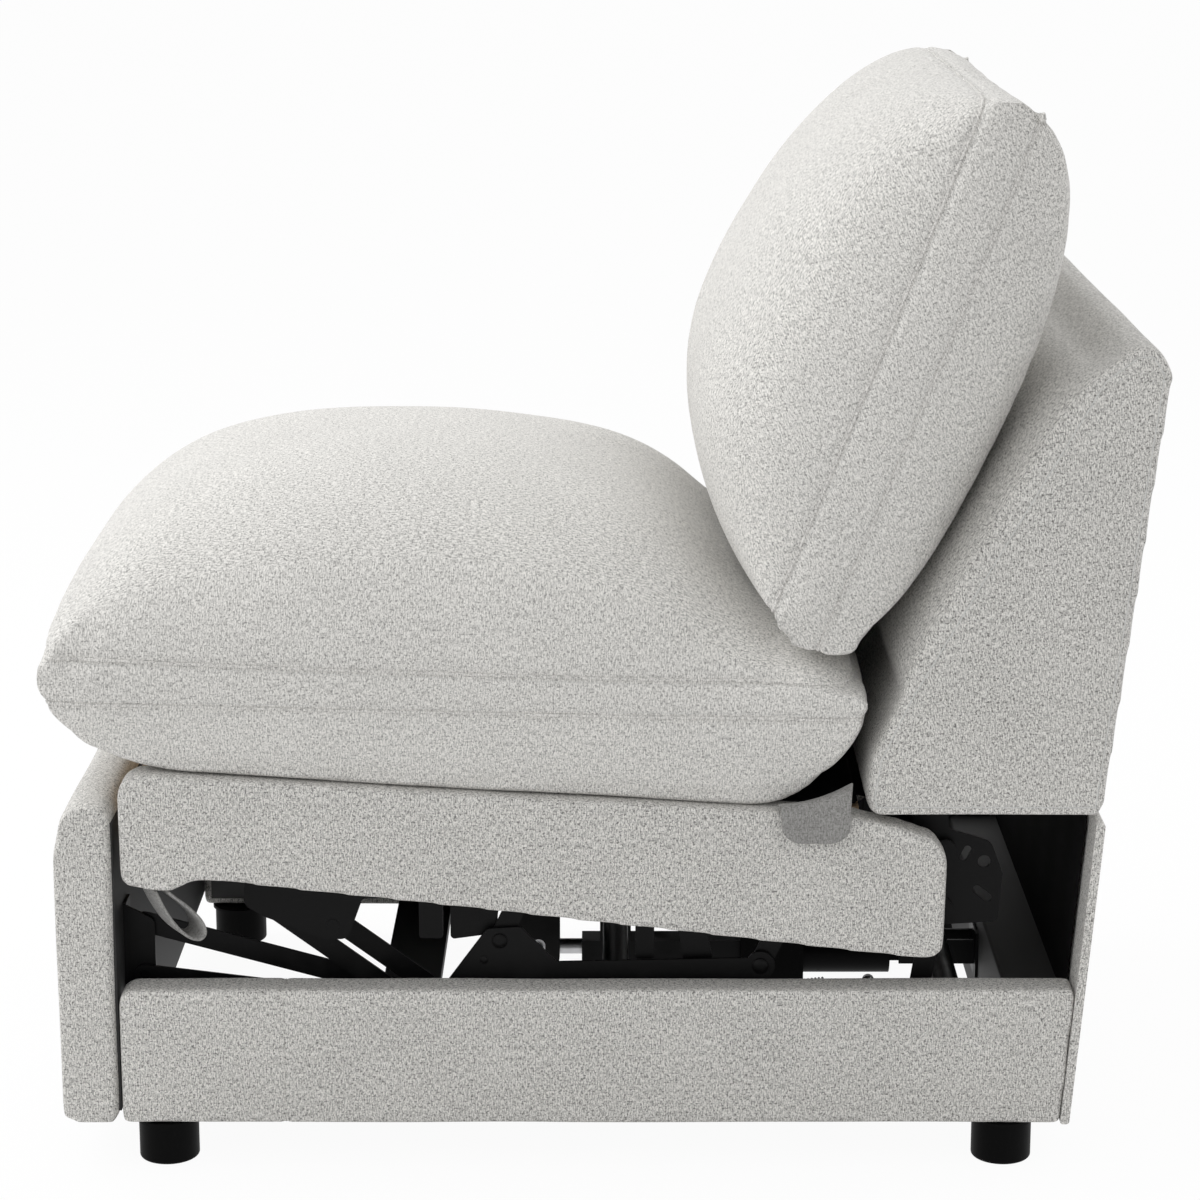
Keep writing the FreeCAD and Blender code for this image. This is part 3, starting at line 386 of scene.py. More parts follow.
@dataclass(frozen=True)
class BondedCloth:
    """Thin black bonded fibre cloth, dotted by its press rollers."""

    name: str = "dust_cloth"
    colour: Point = (0.0030, 0.0030, 0.0032)

    def material(self) -> bpy.types.Material:
        """Builds the cloth."""
        s = Shader(self.name)
        place = s.place()
        dots = s.node("ShaderNodeTexVoronoi", None,
                      {"Vector": place, "Scale": 520.0, "Randomness": 0.15}).ramp(0.15, 0.5)
        fibre = s.noise(s.stretched(place, (1.0, 1.0, 0.4)), 900.0, 3.0)
        return s.surface({
            "Base Color": s.blend(dots * 0.5 * fibre, self.colour, (0.009, 0.009, 0.0094)),
            "Roughness": 0.88,
            "Specular IOR Level": 0.05,
            "Normal": s.bump(dots * 0.6 + fibre, 0.4, 0.0004),
        })


class Finish(Enum):
    """The finishes of the chair."""

    CUSHION = WovenCloth("cushion_cloth", light=(0.87, 0.854, 0.82), dark=(0.30, 0.296, 0.285))
    PILLOW = WovenCloth("pillow_cloth", light=(0.86, 0.844, 0.81), dark=(0.30, 0.296, 0.285),
                        lean=math.radians(-21.5))
    COVER = WovenCloth("cover_cloth", light=(0.84, 0.824, 0.79))
    BACK = WovenCloth("back_cloth", light=(0.84, 0.824, 0.79), lean=math.radians(-7.0))
    # Reverse side of the cloth, made darker still as painted shade: its tone stands in for the
    # shade that falls on the flaps and strap loops under the cushion and rails.
    REVERSE = WovenCloth("cloth_reverse", light=(0.36, 0.355, 0.345))
    THREAD = WovenCloth("sewing_thread", light=(0.72, 0.72, 0.70), dark=(0.5, 0.5, 0.49),
                        yarn=0.0008, relief=0.3)
    PAINT = PaintedSteel()
    BRIGHT = DrawnSteel("turned_steel")
    SPRING = DrawnSteel("spring_wire", colour=(0.34, 0.34, 0.35), grain=(1.0, 1.0, 1.0))
    OILED = DrawnSteel("oiled_wire", colour=(0.06, 0.06, 0.062), grain=(1.0, 1.0, 1.0),
                       roughness=0.34)
    PLASTIC = MouldedPlastic()
    WOOD = Plywood("plywood")
    STAINED = Plywood("black_board", light=(0.0065, 0.0060, 0.0058), dark=(0.0035, 0.0034, 0.0034),
                      gloss=0.1)
    LINING = BondedCloth()

    def material(self) -> bpy.types.Material:
        """The finish's material, built when it is first asked for."""
        return bpy.data.materials.get(self.value.name) or self.value.material()


# Meshes

def mesh_object(name: str, points: Iterable[Sequence[float]],
                faces: Iterable[Sequence[int]]) -> bpy.types.Object:
    """Makes a mesh object and links it.

    Args:
        name: The piece's name.
        points: Vertex places.
        faces: Vertex numbers of each face.

    Returns:
        The object.
    """
    mesh = bpy.data.meshes.new(name)
    mesh.from_pydata([tuple(p) for p in points], [], [tuple(f) for f in faces])
    piece = bpy.data.objects.new(name, mesh)
    bpy.context.scene.collection.objects.link(piece)
    return piece


def finish_piece(piece: bpy.types.Object, finish: Finish, body: str, slot: str,
                 replaces: Sequence[str] = ()) -> bpy.types.Object:
    """Dresses a piece and hands it to a body.

    Args:
        piece: The finished mesh object.
        finish: Its finish.
        body: The body that it rides on.
        slot: Not used.
        replaces: CAD nodes that it stands for.

    Returns:
        The piece.
    """
    if not piece.data.materials:
        piece.data.materials.append(finish.material())
    piece.data.polygons.foreach_set("use_smooth", [True] * len(piece.data.polygons))
    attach(piece, body)
    if replaces:
        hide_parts(*replaces)
    log.info("piece %s on %s, %d faces", piece.name, body, len(piece.data.polygons))
    return piece


def dress(nodes: Iterable[str], finish: Finish) -> None:
    """Gives carried-over nodes their finish.

    Args:
        nodes: Names of the CAD nodes.
        finish: Their finish.
    """
    for name in nodes:
        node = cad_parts[name]
        for slot in node.material_slots:
            slot.material = finish.material()
        log.info("node %s in %s", name, finish.value.name)


def sides(name: str) -> list[str]:
    """The names of a node and its mirror."""
    return [name + "_left", name + "_right"]


def rounded(outline: Outline, steps: int = 5) -> list[tuple[float, float]]:
    """Points of a closed outline whose corners are rounded.

    Args:
        outline: (y, z) or (y, z, radius) in metres.
        steps: Parts of each corner.

    Returns:
        The (y, z) points in order.
    """
    result = []
    count = len(outline)
    for i, corner in enumerate(outline):
        here = Vector(corner[:2])
        radius = corner[2] if len(corner) > 2 else 0.0
        if not radius:
            result.append(tuple(here))
            continue
        back = (Vector(outline[i - 1][:2]) - here).normalized()
        ahead = (Vector(outline[(i + 1) % count][:2]) - here).normalized()
        half = back.angle(ahead) / 2.0
        reach = radius / math.tan(half)
        middle = here + (back + ahead).normalized() * (radius / math.sin(half))
        first = here + back * reach - middle
        sweep = first.angle_signed(here + ahead * reach - middle)
        for step in range(steps + 1):
            angle = -sweep * step / steps
            turned = Matrix.Rotation(angle, 2) @ first
            result.append(tuple(middle + turned))
    return result


@dataclass(frozen=True)
class Filling:
    """How a loose filling swells its cover in the cloth simulation."""

    pressure: float = 4.0
    shrink: float = 0.008
    cap: float = 0.024
    kept: float = 0.35
    frames: int = 13


class SoftForm:
    """A padded form that starts as a plain closed shape and is softened in steps."""

    def __init__(self, piece: bpy.types.Object) -> None:
        """Takes over a mesh object."""
        self.piece = piece

    @classmethod
    def from_node(cls, name: str, node: str) -> "SoftForm":
        """Starts from a merged copy of a CAD solid.

        Args:
            name: The piece's name.
            node: The CAD node's name.

        Returns:
            The form.
        """
        piece = mesh_object(name, [], [])
        shape = bmesh.new()
        shape.from_mesh(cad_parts[node].data)
        bmesh.ops.remove_doubles(shape, verts=shape.verts, dist=1e-5)
        bmesh.ops.recalc_face_normals(shape, faces=shape.faces)
        shape.to_mesh(piece.data)
        shape.free()
        return cls(piece)

    @classmethod
    def from_sections(cls, name: str, stations: Sequence[float],
                      section: Callable[[float], list[tuple[float, float]]]) -> "SoftForm":
        """Starts from closed (y, z) sections along X.

        Args:
            name: The piece's name.
            stations: X of each section, in rising order.
            section: Gives the section's points at an X.

        Returns:
            The form.
        """
        rings = [section(x) for x in stations]
        count = len(rings[0])
        points = [(x, y, z) for x, ring in zip(stations, rings) for y, z in ring]
        faces = [tuple(range(count)), tuple(range(len(points) - 1, len(points) - 1 - count, -1))]
        for row in range(len(stations) - 1):
            for i in range(count):
                j = (i + 1) % count
                a = row * count
                faces.append((a + i, a + j, a + count + j, a + count + i))
        piece = mesh_object(name, points, faces)
        shape = bmesh.new()
        shape.from_mesh(piece.data)
        bmesh.ops.recalc_face_normals(shape, faces=shape.faces)
        shape.to_mesh(piece.data)
        shape.free()
        return cls(piece)

    @classmethod
    def from_outline(cls, name: str, outline: Outline, x0: float, x1: float) -> "SoftForm":
        """Starts from one outline between two X planes."""
        points = rounded(outline)
        return cls.from_sections(name, (x0, x1), lambda _: points)

    def coordinates(self) -> np.ndarray:
        """Vertex places as an array."""
        places = np.empty(len(self.piece.data.vertices) * 3)
        self.piece.data.vertices.foreach_get("co", places)
        return places.reshape(-1, 3)

    def normals(self) -> np.ndarray:
        """Vertex normals as an array."""
        result = np.empty(len(self.piece.data.vertices) * 3)
        self.piece.data.vertices.foreach_get("normal", result)
        return result.reshape(-1, 3)

    def place(self, places: np.ndarray) -> "SoftForm":
        """Moves every vertex to its new place."""
        self.piece.data.vertices.foreach_set("co", places.reshape(-1))
        self.piece.data.update()
        return self

    def applied(self, kind: str, settings: dict[str, Any]) -> "SoftForm":
        """Adds a modifier and applies it.

        Args:
            kind: The modifier's type.
            settings: Its properties.

        Returns:
            The form.
        """
        modifier = self.piece.modifiers.new(kind, kind)
        for key, value in settings.items():
            setattr(modifier, key, value)
        graph = bpy.context.evaluated_depsgraph_get()
        done = bpy.data.meshes.new_from_object(self.piece.evaluated_get(graph), depsgraph=graph)
        self.piece.modifiers.remove(modifier)
        self.piece.data = done
        return self

    def remesh(self, voxel: float) -> "SoftForm":
        """Gives the form an even mesh."""
        return self.applied("REMESH", {"mode": "VOXEL", "voxel_size": voxel})

    def relax(self, steps: int, restored: int = 0) -> "SoftForm":
        """Rounds every edge by averaging neighbours.

        Args:
            steps: How often each vertex is averaged.
            restored: Steps over which the loss of size is evened out and given back.

        Returns:
            The form.
        """
        before = self.coordinates()
        self.applied("SMOOTH", {"factor": 0.5, "iterations": steps})
        if not restored:
            return self
        loss = before - self.coordinates()
        return self.place(self.coordinates() + self.averaged(loss, restored))

    def subdivide(self) -> "SoftForm":
        """One level of subdivision."""
        return self.applied("SUBSURF", {"levels": 1, "render_levels": 1})

    def push(self, amount: Callable[[np.ndarray, np.ndarray], np.ndarray]) -> "SoftForm":
        """Moves vertices along their normals.

        Args:
            amount: Gives the distance for the places and normals.

        Returns:
            The form.
        """
        places = self.coordinates()
        normals = self.normals()
        return self.place(places + normals * amount(places, normals)[:, None])

    def ripple(self, height: float, size: float, seed: float,
               stretch: Point = (1.0, 1.0, 1.0)) -> "SoftForm":
        """Adds slow unevenness, as filled cloth has.

        Args:
            height: Largest rise or fall.
            size: Length of one wave.
            seed: Shifts the pattern.
            stretch: Wave length factor of each axis.

        Returns:
            The form.
        """
        offset = Vector((seed, seed * 1.7, seed * 0.3))

        def rise(places: np.ndarray, _: np.ndarray) -> np.ndarray:
            """Noise at each place."""
            scaled = places / (np.array(stretch) * size)
            return np.array([noise.noise(Vector(p) + offset) for p in scaled]) * height

        return self.push(rise)

    def averaged(self, values: np.ndarray, steps: int) -> np.ndarray:
        """Evens out a vector that each vertex has.

        Args:
            values: One row for each vertex.
            steps: How often each vertex takes half of its neighbours' mean.

        Returns:
            The rows after the last step.
        """
        count = len(self.piece.data.vertices)
        ends = np.empty(len(self.piece.data.edges) * 2, dtype=np.int32)
        self.piece.data.edges.foreach_get("vertices", ends)
        near = np.concatenate((ends[0::2], ends[1::2]))
        far = np.concatenate((ends[1::2], ends[0::2]))
        degree = np.bincount(near, minlength=count)
        for _ in range(steps):
            sums = [np.bincount(near, column[far], count) / degree for column in values.T]
            values = 0.5 * (values + np.stack(sums, axis=1))
        return values

    def swell(self, filling: Filling) -> "SoftForm":
        """Fills the cover by a cloth simulation from a slightly smaller start.

        Args:
            filling: Pressure, how much smaller the start is, the most that a point may
                move, the share of the slow change that stays beside the wrinkles, and steps.

        Returns:
            The form.
        """
        whole = self.coordinates()
        laid = np.clip((-self.normals()[:, 2] - 0.80) / 0.15, 0.0, 1.0)
        self.push(lambda places, _: -filling.shrink * (1.0 - laid))
        start = self.coordinates()
        held = self.piece.vertex_groups.new(name="laid on the deck")
        held.add([int(i) for i in np.flatnonzero(laid > 0.5)], 1.0, "REPLACE")
        cloth = self.piece.modifiers.new("filling", "CLOTH")
        cloth.settings.quality = 3
        cloth.settings.mass = 0.3
        cloth.settings.tension_stiffness = 12.0
        cloth.settings.compression_stiffness = 12.0
        cloth.settings.shear_stiffness = 4.0
        cloth.settings.bending_stiffness = 0.6
        cloth.settings.use_pressure = True
        cloth.settings.uniform_pressure_force = filling.pressure
        cloth.settings.effector_weights.gravity = 0.0
        cloth.settings.vertex_group_mass = held.name
        cloth.collision_settings.use_collision = False
        cloth.point_cache.frame_start = 1
        cloth.point_cache.frame_end = filling.frames
        scene = bpy.context.scene
        for step in range(1, filling.frames + 1):
            scene.frame_set(step)
        graph = bpy.context.evaluated_depsgraph_get()
        result = self.piece.evaluated_get(graph).to_mesh()
        end = np.empty(len(result.vertices) * 3)
        result.vertices.foreach_get("co", end)
        self.piece.evaluated_get(graph).to_mesh_clear()
        self.piece.modifiers.remove(cloth)
        self.piece.vertex_groups.remove(held)
        scene.frame_set(1)
        move = end.reshape(-1, 3) - start
        length = np.linalg.norm(move, axis=1)
        scale = np.minimum(1.0, filling.cap / np.maximum(length, 1e-9))
        log.info("%s swelled by %.1f mm on average", self.piece.name, length.mean() * 1000.0)
        change = start + move * scale[:, None] - whole
        slow = self.averaged(change, 220)
        return self.place(whole + change - slow * (1.0 - filling.kept))

    def groove(self, point: Point, normal: Point, depth: float, width: float,
               where: Callable[[np.ndarray], np.ndarray] | None = None) -> "SoftForm":
        """Draws the surface in along its cut with a plane, as a seam does.

        Args:
            point: A point of the plane.
            normal: The plane's normal.
            depth: Depth of the groove.
            width: Its half width.
            where: Optional share of the depth at each place.

        Returns:
            The form.
        """
        axis = np.array(Vector(normal).normalized())
        origin = np.array(point)

        def fall(places: np.ndarray, _: np.ndarray) -> np.ndarray:
            """Depth at each place.

            Args:
                places: The vertex places.

            Returns:
                The distance along each normal.
            """
            distance = (places - origin) @ axis
            share = np.exp(-(distance / width) ** 2)
            if where is not None:
                share = share * where(places)
            return -depth * share

        return self.push(fall)

    def cut(self, point: Point, normal: Point) -> list[list[Vector]]:
        """Lines in which a plane meets the form.

        Args:
            point: A point of the plane.
            normal: The plane's normal.

        Returns:
            Each closed line as its points in order.
        """
        shape = bmesh.new()
        shape.from_mesh(self.piece.data)
        geometry = shape.verts[:] + shape.edges[:] + shape.faces[:]
        found = bmesh.ops.bisect_plane(shape, geom=geometry, plane_co=point, plane_no=normal)
        edges = [e for e in found["geom_cut"] if isinstance(e, bmesh.types.BMEdge)]
        near: dict[int, list[bmesh.types.BMVert]] = {}
        shape.verts.index_update()
        for edge in edges:
            a, b = edge.verts
            near.setdefault(a.index, []).append(b)
            near.setdefault(b.index, []).append(a)
        seen: set[int] = set()
        lines = []
        for edge in edges:
            vertex = edge.verts[0]
            if vertex.index in seen:
                continue
            line = []
            while vertex is not None:
                seen.add(vertex.index)
                line.append(vertex.co.copy())
                vertex = next((v for v in near[vertex.index] if v.index not in seen), None)
            if len(line) > 20:
                lines.append(line)
        shape.free()
        return lines

    def onto(self, points: Sequence[Point], direction: Point) -> list[Vector]:
        """Points dropped onto the form along a direction.

        Args:
            points: Start points outside the form.
            direction: Where they travel.

        Returns:
            The points that meet the form.
        """
        tree = BVHTree.FromPolygons([v.co for v in self.piece.data.vertices],
                                    [p.vertices for p in self.piece.data.polygons])
        hits = (tree.ray_cast(Vector(p), Vector(direction))[0] for p in points)
        return [hit for hit in hits if hit is not None]


# Geometry node trees

class Tree:
    """A geometry node tree with named inputs."""

    def __init__(self, name: str, sizes: dict[str, float]) -> None:
        """Starts a tree with its inputs.

        Args:
            name: The tree's name.
            sizes: Default of each named number.
        """
        self.group = bpy.data.node_groups.new(name, "GeometryNodeTree")
        face = self.group.interface
        face.new_socket("Geometry", in_out="INPUT", socket_type="NodeSocketGeometry")
        self.names = {}
        for key, value in sizes.items():
            socket = face.new_socket(key, in_out="INPUT", socket_type="NodeSocketFloat")
            socket.default_value = value
            self.names[key] = socket.identifier
        finish = face.new_socket("Finish", in_out="INPUT", socket_type="NodeSocketMaterial")
        self.names["Finish"] = finish.identifier
        pattern = face.new_socket("Pattern", in_out="INPUT", socket_type="NodeSocketObject")
        self.names["Pattern"] = pattern.identifier
        face.new_socket("Geometry", in_out="OUTPUT", socket_type="NodeSocketGeometry")
        self.input = self.group.nodes.new("NodeGroupInput")
        self.output = self.group.nodes.new("NodeGroupOutput")

    def node(self, kind: str, settings: dict[str, Any] | None = None,
             inputs: dict[Any, Any] | None = None) -> bpy.types.Node:
        """Adds a node.

        Args:
            kind: The node's type name.
            settings: Its properties.
            inputs: Values or output sockets by input name or number.

        Returns:
            The node.
        """
        node = self.group.nodes.new(kind)
        for key, value in (settings or {}).items():
            setattr(node, key, value)
        for key, value in (inputs or {}).items():
            if isinstance(value, bpy.types.NodeSocket):
                self.group.links.new(value, node.inputs[key])
            else:
                node.inputs[key].default_value = value
        return node

    def close(self, geometry: bpy.types.NodeSocket) -> None:
        """Ends the tree in real geometry with the finish.

        Args:
            geometry: The socket that gives the shape.
        """
        real = self.node("GeometryNodeRealizeInstances", None, {0: geometry})
        dressed = self.node("GeometryNodeSetMaterial", None,
                            {0: real.outputs[0], "Material": self.input.outputs["Finish"]})
        self.group.links.new(dressed.outputs[0], self.output.inputs[0])

    def run(self, source: bpy.types.Object, name: str, finish: Finish,
            sizes: dict[str, float], pattern: bpy.types.Object | None = None) -> bpy.types.Object:
        """Turns a source object into a plain mesh piece.

        Args:
            source: The curve or mesh that the tree reads; it is removed.
            name: The new piece's name.
            finish: The piece's finish.
            sizes: Values of the named inputs.
            pattern: Object that is repeated; the caller removes it.

        Returns:
            The piece.
        """
        modifier = source.modifiers.new("tree", "NODES")
        modifier.node_group = self.group
        for key, value in sizes.items():
            modifier[self.names[key]] = value
        modifier[self.names["Finish"]] = finish.material()
        if pattern is not None:
            modifier[self.names["Pattern"]] = pattern
        bpy.context.view_layer.update()
        graph = bpy.context.evaluated_depsgraph_get()
        mesh = bpy.data.meshes.new_from_object(source.evaluated_get(graph), depsgraph=graph)
        mesh.name = name
        bpy.data.objects.remove(source)
        piece = bpy.data.objects.new(name, mesh)
        bpy.context.scene.collection.objects.link(piece)
        return piece


def line_object(lines: Iterable[Sequence[Sequence[float]]], closed: bool) -> bpy.types.Object:
    """Makes a curve object of straight runs.

    Args:
        lines: Each line's points.
        closed: Whether the lines close.

    Returns:
        The curve object.
    """
    curve = bpy.data.curves.new("line", "CURVE")
    curve.dimensions = "3D"
    for line in lines:
        spline = curve.splines.new("POLY")
        spline.points.add(len(line) - 1)
        spline.points.foreach_set("co", [c for p in line for c in (*p, 1.0)])
        spline.use_cyclic_u = closed
    source = bpy.data.objects.new("line", curve)
    bpy.context.scene.collection.objects.link(source)
    return source


@dataclass(frozen=True)
class SeamLine:
    """A seam that lies in a plane, and the point through which its stitches run beside it."""

    name: str
    point: Point
    row: Point
    normal: Point


class Seams:
    """Sewn lines: a thin fold of cloth and rows of stitches."""

    def __init__(self) -> None:
        """Builds the two trees that all seams share."""
        self.fold_tree = self.build_fold()
        self.stitch_tree = self.build_stitches()

    @staticmethod
    def build_fold() -> Tree:
        """Tree that sweeps a round section along a line."""
        tree = Tree("fold", {"Radius": 0.001, "Step": FOLD_STEP})
        even = tree.node("GeometryNodeResampleCurve", {"mode": "LENGTH"},
                         {"Curve": tree.input.outputs["Geometry"],
                          "Length": tree.input.outputs["Step"]})
        ring = tree.node("GeometryNodeCurvePrimitiveCircle", None,
                         {"Resolution": 8, "Radius": tree.input.outputs["Radius"]})
        tube = tree.node("GeometryNodeCurveToMesh", None,
                         {"Curve": even.outputs[0], "Profile Curve": ring.outputs[0],
                          "Fill Caps": True})
        tree.close(tube.outputs[0])
        return tree

    @staticmethod
    def build_stitches() -> Tree:
        """Tree that lays short threads along a line."""
        tree = Tree("stitches", {"Pitch": 0.0045, "Length": 0.0032, "Thread": 0.0004})
        even = tree.node("GeometryNodeResampleCurve", {"mode": "LENGTH"},
                         {"Curve": tree.input.outputs["Geometry"],
                          "Length": tree.input.outputs["Pitch"]})
        tangent = tree.node("GeometryNodeInputTangent")
        align = tree.node("FunctionNodeAlignRotationToVector", {"axis": "Z"},
                          {"Vector": tangent.outputs[0]})
        ball = tree.node("GeometryNodeMeshUVSphere", None,
                         {"Segments": 6, "Rings": 4, "Radius": 0.5})
        thick = tree.node("ShaderNodeMath", {"operation": "MULTIPLY"},
                          {0: tree.input.outputs["Thread"], 1: 2.0})
        size = tree.node("ShaderNodeCombineXYZ", None,
                         {0: thick.outputs[0], 1: thick.outputs[0],
                          2: tree.input.outputs["Length"]})
        stitch = tree.node("GeometryNodeInstanceOnPoints", None,
                           {"Points": even.outputs[0], "Instance": ball.outputs["Mesh"],
                            "Rotation": align.outputs[0], "Scale": size.outputs[0]})
        tree.close(stitch.outputs[0])
        return tree

    def fold(self, name: str, lines: list[list[Vector]], radius: float, finish: Finish,
             body: str, slot: str, closed: bool = True) -> None:
        """A fold of cloth along lines.

        Args:
            name: The piece's name.
            lines: The lines' points.
            radius: Half the fold's width.
            finish: The cloth.
            body: The body that it rides on.
            slot: The record's material slot.
            closed: Whether the lines close.
        """
        piece = self.fold_tree.run(line_object(lines, closed), name, finish,
                                   {"Radius": radius, "Step": FOLD_STEP})
        finish_piece(piece, finish, body, slot)

    def stitches(self, name: str, lines: list[list[Vector]], body: str, slot: str,
                 closed: bool = True, pitch: float = 0.0045) -> None:
        """A row of stitches along lines.

        Args:
            name: The piece's name.
            lines: The lines' points.
            body: The body that they ride on.
            slot: The record's material slot.
            closed: Whether the lines close.
            pitch: Distance from one stitch to the next.
        """
        piece = self.stitch_tree.run(line_object(lines, closed), name, Finish.THREAD,
                                     {"Pitch": pitch, "Length": pitch * 0.72,
                                      "Thread": 0.00042})
        finish_piece(piece, Finish.THREAD, body, slot)


    def sew(self, form: SoftForm, lines: Sequence[SeamLine], radius: float, finish: Finish,
            body: str, slot: str) -> None:
        """Lays a fold and a row of stitches along each seam of a form.

        Args:
            form: The form that is sewn.
            lines: Its seams.
            radius: Half the fold's width.
            finish: The cloth.
            body: The body that they ride on.
            slot: The record's material slot.
        """
        for line in lines:
            seam = form.cut(line.point, line.normal)
            self.fold(line.name + "_seam", seam, radius, finish, body, slot)
            row = form.cut(line.row, line.normal)
            self.stitches(line.name + "_stitches", row, body, slot)


class Head(Enum):
    """Heads of fasteners, as (radius, height) steps for a head of radius 1, and its sides."""

    RIVET = (((1.0, 0.0), (1.0, 0.07), (0.80, 0.11), (0.72, 0.19), (0.40, 0.26), (0.12, 0.27)), 16)
    BOLT = (((1.35, 0.0), (1.35, 0.14), (1.0, 0.15), (1.0, 0.62), (0.90, 0.72), (0.15, 0.72)), 6)
    SCREW = (((1.0, 0.0), (0.96, 0.16), (0.75, 0.34), (0.42, 0.42), (0.38, 0.20), (0.1, 0.2)), 12)

    def pattern(self) -> bpy.types.Object:
        """One head of radius 1 that rises along +Z."""
        steps, count = self.value
        points = []
        for radius, height in steps:
            for i in range(count):
                angle = 2.0 * math.pi * i / count
                points.append((radius * math.cos(angle), radius * math.sin(angle), height))
        faces = []
        for row in range(len(steps) - 1):
            for i in range(count):
                j = (i + 1) % count
                a = row * count
                faces.append((a + i, a + j, a + count + j, a + count + i))
        faces.append(tuple(range(count - 1, -1, -1)))
        last = (len(steps) - 1) * count
        faces.append(tuple(range(last, last + count)))
        return mesh_object("head", points, faces)


class Fasteners:
    """Heads that are repeated on points, each with its own direction and radius."""

    def __init__(self) -> None:
        """Builds the tree that sets heads on points."""
        tree = Tree("heads", {})
        shape = tree.node("GeometryNodeObjectInfo", None,
                          {"Object": tree.input.outputs["Pattern"]})
        facing = tree.node("GeometryNodeInputNamedAttribute", {"data_type": "FLOAT_VECTOR"},
                           {"Name": "facing"})
        size = tree.node("GeometryNodeInputNamedAttribute", {"data_type": "FLOAT"},
                         {"Name": "size"})
        align = tree.node("FunctionNodeAlignRotationToVector", {"axis": "Z"},
                          {"Vector": facing.outputs[0]})
        heads = tree.node("GeometryNodeInstanceOnPoints", None,
                          {"Points": tree.input.outputs["Geometry"],
                           "Instance": shape.outputs["Geometry"],
                           "Rotation": align.outputs[0], "Scale": size.outputs[0]})
        tree.close(heads.outputs[0])
        self.tree = tree

    def place(self, name: str, head: Head, spots: Sequence[tuple[Point, Point, float]],
              finish: Finish, body: str, slot: str) -> None:
        """Places one kind of head.

        Args:
            name: The piece's name.
            head: The kind of head.
            spots: Foot, direction and radius of each head.
            finish: Its finish.
            body: The body that it rides on.
            slot: The record's material slot.
        """
        source = mesh_object("spots", [spot[0] for spot in spots], [])
        facing = source.data.attributes.new("facing", "FLOAT_VECTOR", "POINT")
        facing.data.foreach_set("vector", [c for spot in spots for c in spot[1]])
        size = source.data.attributes.new("size", "FLOAT", "POINT")
        size.data.foreach_set("value", [spot[2] for spot in spots])
        pattern = head.pattern()
        piece = self.tree.run(source, name, finish, {}, pattern)
        bpy.data.objects.remove(pattern)
        finish_piece(piece, finish, body, slot)

    @staticmethod
    def both_sides(spots: Sequence[tuple[float, float, float, float, float]]
                   ) -> list[tuple[Point, Point, float]]:
        """Spots on the two sides of the chair.

        Args:
            spots: X, Y and Z of the foot, the direction along X and the radius.

        Returns:
            The spots and their mirrors.
        """
        result = []
        for x, y, z, way, radius in spots:
            result.append(((x, y, z), (way, 0.0, 0.0), radius))
            result.append(((-x, y, z), (-way, 0.0, 0.0), radius))
        return result


def smooth_line(points: Sequence[tuple[float, float]], steps: int = 8) -> list[tuple[float, float]]:
    """Catmull-Rom line through open points.

    Args:
        points: The points that it passes.
        steps: Parts between two points.

    Returns:
        The finer points.
    """
    ends = [points[0], *points, points[-1]]
    result = []
    for a, b, c, d in zip(ends, ends[1:], ends[2:], ends[3:]):
        for step in range(steps):
            t = step / steps
            result.append(tuple(
                0.5 * (2 * q + (r - p) * t + (2 * p - 5 * q + 4 * r - s) * t * t
                       + (3 * q - p - 3 * r + s) * t ** 3)
                for p, q, r, s in zip(a, b, c, d)))
    result.append(tuple(points[-1]))
    return result


def cloth_strip(name: str, rows: Sequence[Sequence[Point]], thickness: float) -> bpy.types.Object:
    """Sheet of cloth through rows of points, with real thickness.

    Args:
        name: The piece's name.
        rows: Rows of points, all of one length.
        thickness: Thickness of the cloth.

    Returns:
        The piece, with its modifiers applied.
    """
    count = len(rows[0])
    points = [p for row in rows for p in row]
    faces = [(r * count + i, r * count + i + 1, (r + 1) * count + i + 1, (r + 1) * count + i)
             for r in range(len(rows) - 1) for i in range(count - 1)]
    form = SoftForm(mesh_object(name, points, faces))
    form.applied("SOLIDIFY", {"thickness": thickness, "offset": 0.0})
    form.subdivide()
    return form.piece


def run_length(points: Sequence[Sequence[float]]) -> float:
    """Length of a line of points."""
    return sum((Vector(b) - Vector(a)).length for a, b in zip(points, points[1:]))


